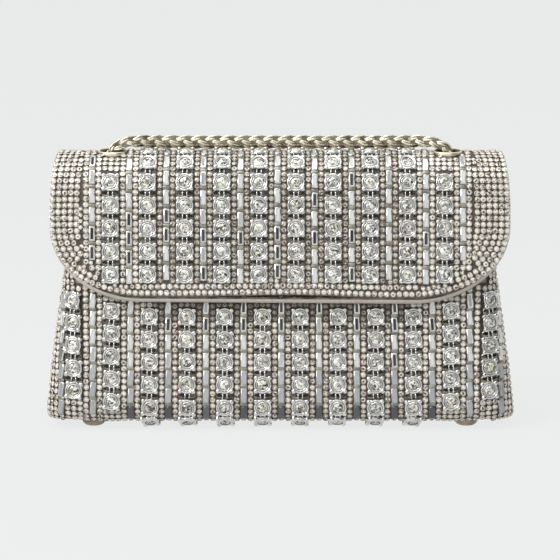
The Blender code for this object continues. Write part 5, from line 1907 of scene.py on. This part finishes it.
def build_fittings():
    """Eyelets, D-rings with their tabs, feet, and the finishes of the snap and the washers."""
    gold = finish("pale_gold_plate", pale_gold)
    dark = finish("antique_brass", antique_metal)
    hide = finish("taupe_leather_grain", taupe_leather)
    rim = [(EYELET_BORE + 0.0002, EYELET_LOW), (EYELET_BORE, EYELET_LOW + 0.0004)]
    rim.append((EYELET_BORE, 0.0006))
    middle = (EYELET_BORE + EYELET_FLANGE) / 2
    for k in range(7):
        angle = math.pi * (1 - k / 6)
        radius = middle + (EYELET_FLANGE - middle) * math.cos(angle)
        rim.append((radius, BED_TOP + EYELET_ROLL * math.sin(angle)))
    shank = EYELET_BORE + EYELET_WALL
    rim += [(EYELET_FLANGE, GAP), (shank, GAP), (shank, EYELET_LOW)]
    for side, name in SIDES:
        origin, across, along, normal = eyelet_spot(side)
        eyelet = lathe(f"eyelet_rim_{name}", rim, (origin, across, along, normal), [gold, dark])
        # Faces inside the bore take the dark brass as painted shade.
        for face in eyelet.data.polygons:
            away = face.center - origin
            if (away - normal * away.dot(normal)).length < EYELET_BORE + 0.00025:
                face.material_index = 1
        settle(eyelet, "flap", (f"eyelet_{name}",))
        half = RING_RADIUS / 2
        route = [(y, 0.0) for y in (RING_RADIUS, half, 0.0, -half, -0.0044)]
        for k in range(17):
            angle = math.pi * (1 - k / 16)
            route.append((RING_RADIUS * math.cos(angle), -half - RING_RADIUS * math.sin(angle)))
        path = [(side * RING_X, y, RING_HEIGHT + z) for y, z in route]
        ring = wire(f"d_ring_wire_{name}", path, RING_WIRE, 12, (1, 0, 0), [gold], closed=True)
        settle(ring, f"d_ring_{name}", (f"d_ring_{name}",))
        hook = []
        for a in np.linspace(0, 2 * math.pi, 25)[:-1]:
            x = RING_X + END_LINK_HALF_WIDTH * math.sin(a)
            hook.append((side * x, 0.0, END_LINK_HEIGHT + END_LINK_HALF_LENGTH * math.cos(a)))
        title = f"strap_end_link_{name}"
        link = wire(title, hook, END_LINK_WIRE, 8, (0, 1, 0), [gold], closed=True)
        settle(link, f"d_ring_{name}")
        build_tab(side, name, hide)
    dome = [(0, 0), (SOLE_RADIUS, 0.0)]
    for k in range(1, 9):
        angle = k / 8 * math.pi / 2
        spread, rise = DOME_SPREAD * math.sin(angle), DOME_RISE * (1 - math.cos(angle))
        dome.append((SOLE_RADIUS + spread, rise))
    edge, top = SOLE_RADIUS + DOME_SPREAD, FOOT_HEIGHT - GAP
    dome += [(edge, top - 0.0001), (edge - 0.0003, top), (SHANK_RADIUS, top)]
    dome += [(SHANK_RADIUS, SHANK_TOP), (0, SHANK_TOP)]
    for side, name in SIDES:
        for back, end in FACES:
            place = Vector((side * FOOT_X, FOOT_Y if back else -FOOT_Y, 0))
            spot = (place, Vector((1, 0, 0)), Vector((0, 1, 0)), Vector((0, 0, 1)))
            foot = lathe(f"foot_dome_{end}_{name}", dome, spot, [dark], 40)
            settle(foot, "bag_body", (f"foot_{end}_{name}",))
    board = finish("pressed_board", pressed_board)
    finishes = {"antique_metal": dark, "pale_gold": gold, "board": board}
    slots = {part["node"]: part["material_slot"] for part in frame["record"]["subparts"]}
    for name, node in frame["nodes"].items():
        for slot in node.material_slots:
            slot.material = finishes.get(slots[name], hide)


def build_tab(side, name, hide):
    """A strip of leather folded round a D-ring's bar and sewn to the lining."""
    fold = TAB_FOLD
    route = [(fold + 0.00095, 0.012), (fold + 0.0005, 0.006), (fold, 0.0015)]
    for k in range(13):
        angle = -math.pi * k / 12
        route.append((fold * math.cos(angle), fold * math.sin(angle)))
    route += [(-0.0013, 0.0016), (0.0001, 0.0036), (0.0010, 0.006), (0.0018, 0.012)]
    grids = []
    for way in (-1, 1):
        grid = []
        for k, (x, z) in enumerate(route):
            ahead = Vector(route[min(k + 1, len(route) - 1)]) - Vector(route[max(k - 1, 0)])
            out = Vector((-ahead.y, ahead.x)).normalized() * (TAB_HALF_THICKNESS * way)
            row = []
            for y in TAB_ROWS:
                thin = 0.5 if abs(y) == TAB_ROWS[-1] else 1.0
                place = (side * (RING_X + x + out.x * thin), y, RING_HEIGHT + z + out.y * thin)
                row.append(Vector(place))
            grid.append(row)
        grids.append(grid)
    tab = plate(f"ring_tab_leather_{name}", *grids, [hide])
    settle(tab, "bag_body", (f"ring_tab_{name}",))
    spots = []
    inward, upward = Vector((-side, 0, 0)), Vector((0, 0, 1))
    for z in TAB_STITCH_HEIGHTS:
        for y in (-TAB_STITCH_Y, TAB_STITCH_Y):
            x = 0.0010 + (z - 0.006) * 0.13 - 0.0004
            point = Vector((side * (RING_X + x), y, RING_HEIGHT + z))
            spots.append((point, upward.cross(inward), upward, inward))
    sew(f"ring_tab_stitches_{name}", spots, STITCH_LEVEL, "bag_body", 9)


# Studio

BAG_MIDDLE = Vector((0, 0, 0.07))
LENS = 150
SENSOR = 36
FRAME_WIDTH = 0.280
CAMERA_ELEVATION = math.radians(9)
CAMERA_TARGET = Vector((0.0, -0.020, 0.0751))
LAMP_SIZE = 0.7


def lamp(name, power, place):
    """A soft square light that points at the bag."""
    light = bpy.data.lights.new(name, "AREA")
    light.shape = "SQUARE"
    light.size = LAMP_SIZE
    light.energy = power
    made = bpy.data.objects.new(name, light)
    made.location = place
    made.rotation_euler = (BAG_MIDDLE - Vector(place)).to_track_quat("-Z", "Y").to_euler()
    bpy.context.scene.collection.objects.link(made)


def flat(name, half_width, half_length):
    """A flat sheet round its own middle."""
    mesh = bpy.data.meshes.new(name)
    mesh.from_pydata(oblong(half_width, half_length, 0), [], [(0, 1, 2, 3)])
    return mesh


def dark_card(name, half_width, half_length, place):
    """A black card that shows only in reflections."""
    black = finish("black_card", lambda title: Finish(title, (0.01, 0.01, 0.01), 0.9).made)
    card = show(name, flat(name, half_width, half_length), [black])
    card.location = place
    card.rotation_euler = (Vector(place) - BAG_MIDDLE).to_track_quat("Z", "Y").to_euler()
    for ray in ("camera", "diffuse", "shadow", "transmission"):
        setattr(card, f"visible_{ray}", False)


def build_studio():
    """Camera, lights, pale floor and background."""
    look = bpy.context.scene.bag_studio
    backdrop = (*look.backdrop, 1)
    camera = bpy.data.cameras.new("camera")
    camera.lens = LENS
    camera.sensor_width = SENSOR
    view = bpy.data.objects.new("camera", camera)
    bpy.context.scene.collection.objects.link(view)
    back = Vector((0, -math.cos(CAMERA_ELEVATION), math.sin(CAMERA_ELEVATION)))
    view.location = CAMERA_TARGET + back * (FRAME_WIDTH * LENS / SENSOR)
    view.rotation_euler = (-back).to_track_quat("-Z", "Y").to_euler()
    bpy.context.scene.camera = view
    world = bpy.data.worlds.new("studio")
    bpy.context.scene.world = world
    world.use_nodes = True
    tree = world.node_tree
    tree.nodes.clear()
    path = add_node(tree, "LightPath")
    seen = path.outputs["Is Camera Ray"]
    for other in ("Is Glossy Ray", "Is Transmission Ray"):
        inputs = {0: seen, 1: path.outputs[other]}
        seen = add_node(tree, "Math", inputs, operation="MAXIMUM").outputs[0]
    soft = add_node(tree, "Background", {"Color": (1, 1, 1, 1), "Strength": look.fill})
    shown = add_node(tree, "Background", {"Color": backdrop, "Strength": 1.0})
    blend = add_node(tree, "MixShader", {0: seen, 1: soft.outputs[0], 2: shown.outputs[0]})
    add_node(tree, "OutputWorld", {0: blend.outputs[0]})
    lamp("key_light", look.key_power, (-1.0, -0.8, 1.05))
    lamp("top_light", look.top_power, (-0.1, -0.35, 1.5))
    dark_card("dark_card_left", 0.35, 0.5, (-1.1, -0.2, 0.3))
    dark_card("dark_card_right", 0.6, 0.6, (1.1, -0.8, 0.35))
    show("floor", flat("floor", 12.0, 12.0), [floor_finish(backdrop)])
    bpy.context.scene.view_settings.view_transform = "Standard"


def floor_finish(backdrop):
    """Pale floor that shows the backdrop's own colour and keeps the bag's shadow."""
    made = bpy.data.materials.new("pale_floor")
    made.use_nodes = True
    tree = made.node_tree
    tree.nodes.clear()
    matt = add_node(tree, "BsdfDiffuse", {"Color": (0.5, 0.5, 0.49, 1)})
    glow = add_node(tree, "Emission", {"Color": (*shade(backdrop[:3], 1.045), 1)})
    rays = add_node(tree, "LightPath").outputs
    inputs = {0: rays["Is Camera Ray"], 1: rays["Is Glossy Ray"]}
    either = add_node(tree, "Math", inputs, operation="MAXIMUM")
    share = add_node(tree, "Math", {0: either.outputs[0], 1: 0.88}, operation="MULTIPLY")
    inputs = {0: share.outputs[0], 1: matt.outputs[0], 2: glow.outputs[0]}
    blend = add_node(tree, "MixShader", inputs)
    add_node(tree, "OutputMaterial", {0: blend.outputs[0]})
    return made


# Operators and panel


class Piece:
    """What each operator does: run its build function."""

    def execute(self, context):
        type(self).build()
        return {"FINISHED"}


class BAG_OT_studio(Piece, bpy.types.Operator):
    """Set up the camera, the lights and the pale floor"""

    bl_idname = "bag.studio"
    bl_label = "Studio"
    build = staticmethod(build_studio)


class BAG_OT_chain_strap(Piece, bpy.types.Operator):
    """Plait the chain strap along its route"""

    bl_idname = "bag.chain_strap"
    bl_label = "Chain Strap"
    build = staticmethod(build_chain_strap)


class BAG_OT_leather_shell(Piece, bpy.types.Operator):
    """Make the leather body with its side seams"""

    bl_idname = "bag.leather_shell"
    bl_label = "Leather Shell"
    build = staticmethod(build_leather_shell)


class BAG_OT_lining(Piece, bpy.types.Operator):
    """Make the lining and the binding round the mouth"""

    bl_idname = "bag.lining"
    bl_label = "Lining"
    build = staticmethod(build_lining)


class BAG_OT_flap_leather(Piece, bpy.types.Operator):
    """Make the flap's leather, lining, edge and hinge"""

    bl_idname = "bag.flap_leather"
    bl_label = "Flap Leather"
    build = staticmethod(build_flap_leather)


class BAG_OT_flap_stones(Piece, bpy.types.Operator):
    """Set the flap's small stones and mirror bars"""

    bl_idname = "bag.flap_stones"
    bl_label = "Flap Stones"
    build = staticmethod(build_flap_stones)


class BAG_OT_front_stones(Piece, bpy.types.Operator):
    """Set the front's small stones and mirror bars"""

    bl_idname = "bag.front_stones"
    bl_label = "Front Stones"
    build = staticmethod(build_front_stones)


class BAG_OT_back_stones(Piece, bpy.types.Operator):
    """Set the back's field of small stones"""

    bl_idname = "bag.back_stones"
    bl_label = "Back Stones"
    build = staticmethod(build_back_stones)


class BAG_OT_square_chains(Piece, bpy.types.Operator):
    """Hang the chains of square settings"""

    bl_idname = "bag.square_chains"
    bl_label = "Square Chains"
    build = staticmethod(build_square_chains)


class BAG_OT_fittings(Piece, bpy.types.Operator):
    """Make eyelets, rings, tabs and feet"""

    bl_idname = "bag.fittings"
    bl_label = "Fittings"
    build = staticmethod(build_fittings)


OPERATORS = (
    BAG_OT_studio,
    BAG_OT_chain_strap,
    BAG_OT_leather_shell,
    BAG_OT_lining,
    BAG_OT_flap_leather,
    BAG_OT_flap_stones,
    BAG_OT_front_stones,
    BAG_OT_back_stones,
    BAG_OT_square_chains,
    BAG_OT_fittings,
)
SETTINGS = (
    ("bag_crystals", BAG_PG_crystals),
    ("bag_leather", BAG_PG_leather),
    ("bag_chain", BAG_PG_chain),
    ("bag_studio", BAG_PG_studio),
)


class BAG_PT_panel(bpy.types.Panel):
    """Lists the bag's pieces and their values"""

    bl_idname = "BAG_PT_panel"
    bl_label = "Crystal Shoulder Bag"
    bl_space_type = "VIEW_3D"
    bl_region_type = "UI"
    bl_category = "Bag"

    def draw(self, context):
        for name, group in SETTINGS:
            box = self.layout.box()
            for key in group.__annotations__:
                box.prop(getattr(context.scene, name), key)
        for operator in OPERATORS:
            self.layout.operator(operator.bl_idname)


def register():
    """Registers the values, operators and panel."""
    for name, group in SETTINGS:
        bpy.utils.register_class(group)
        setattr(bpy.types.Scene, name, PointerProperty(type=group))
    for operator in OPERATORS:
        bpy.utils.register_class(operator)
    bpy.utils.register_class(BAG_PT_panel)


def unregister():
    """Removes them again."""
    bpy.utils.unregister_class(BAG_PT_panel)
    for operator in reversed(OPERATORS):
        bpy.utils.unregister_class(operator)
    for name, group in reversed(SETTINGS):
        delattr(bpy.types.Scene, name)
        bpy.utils.unregister_class(group)


def main():
    """Builds every piece in order."""
    register()
    for operator in OPERATORS:
        group, name = operator.bl_idname.split(".")
        getattr(getattr(bpy.ops, group), name)()


if __name__ == "__main__":
    main()
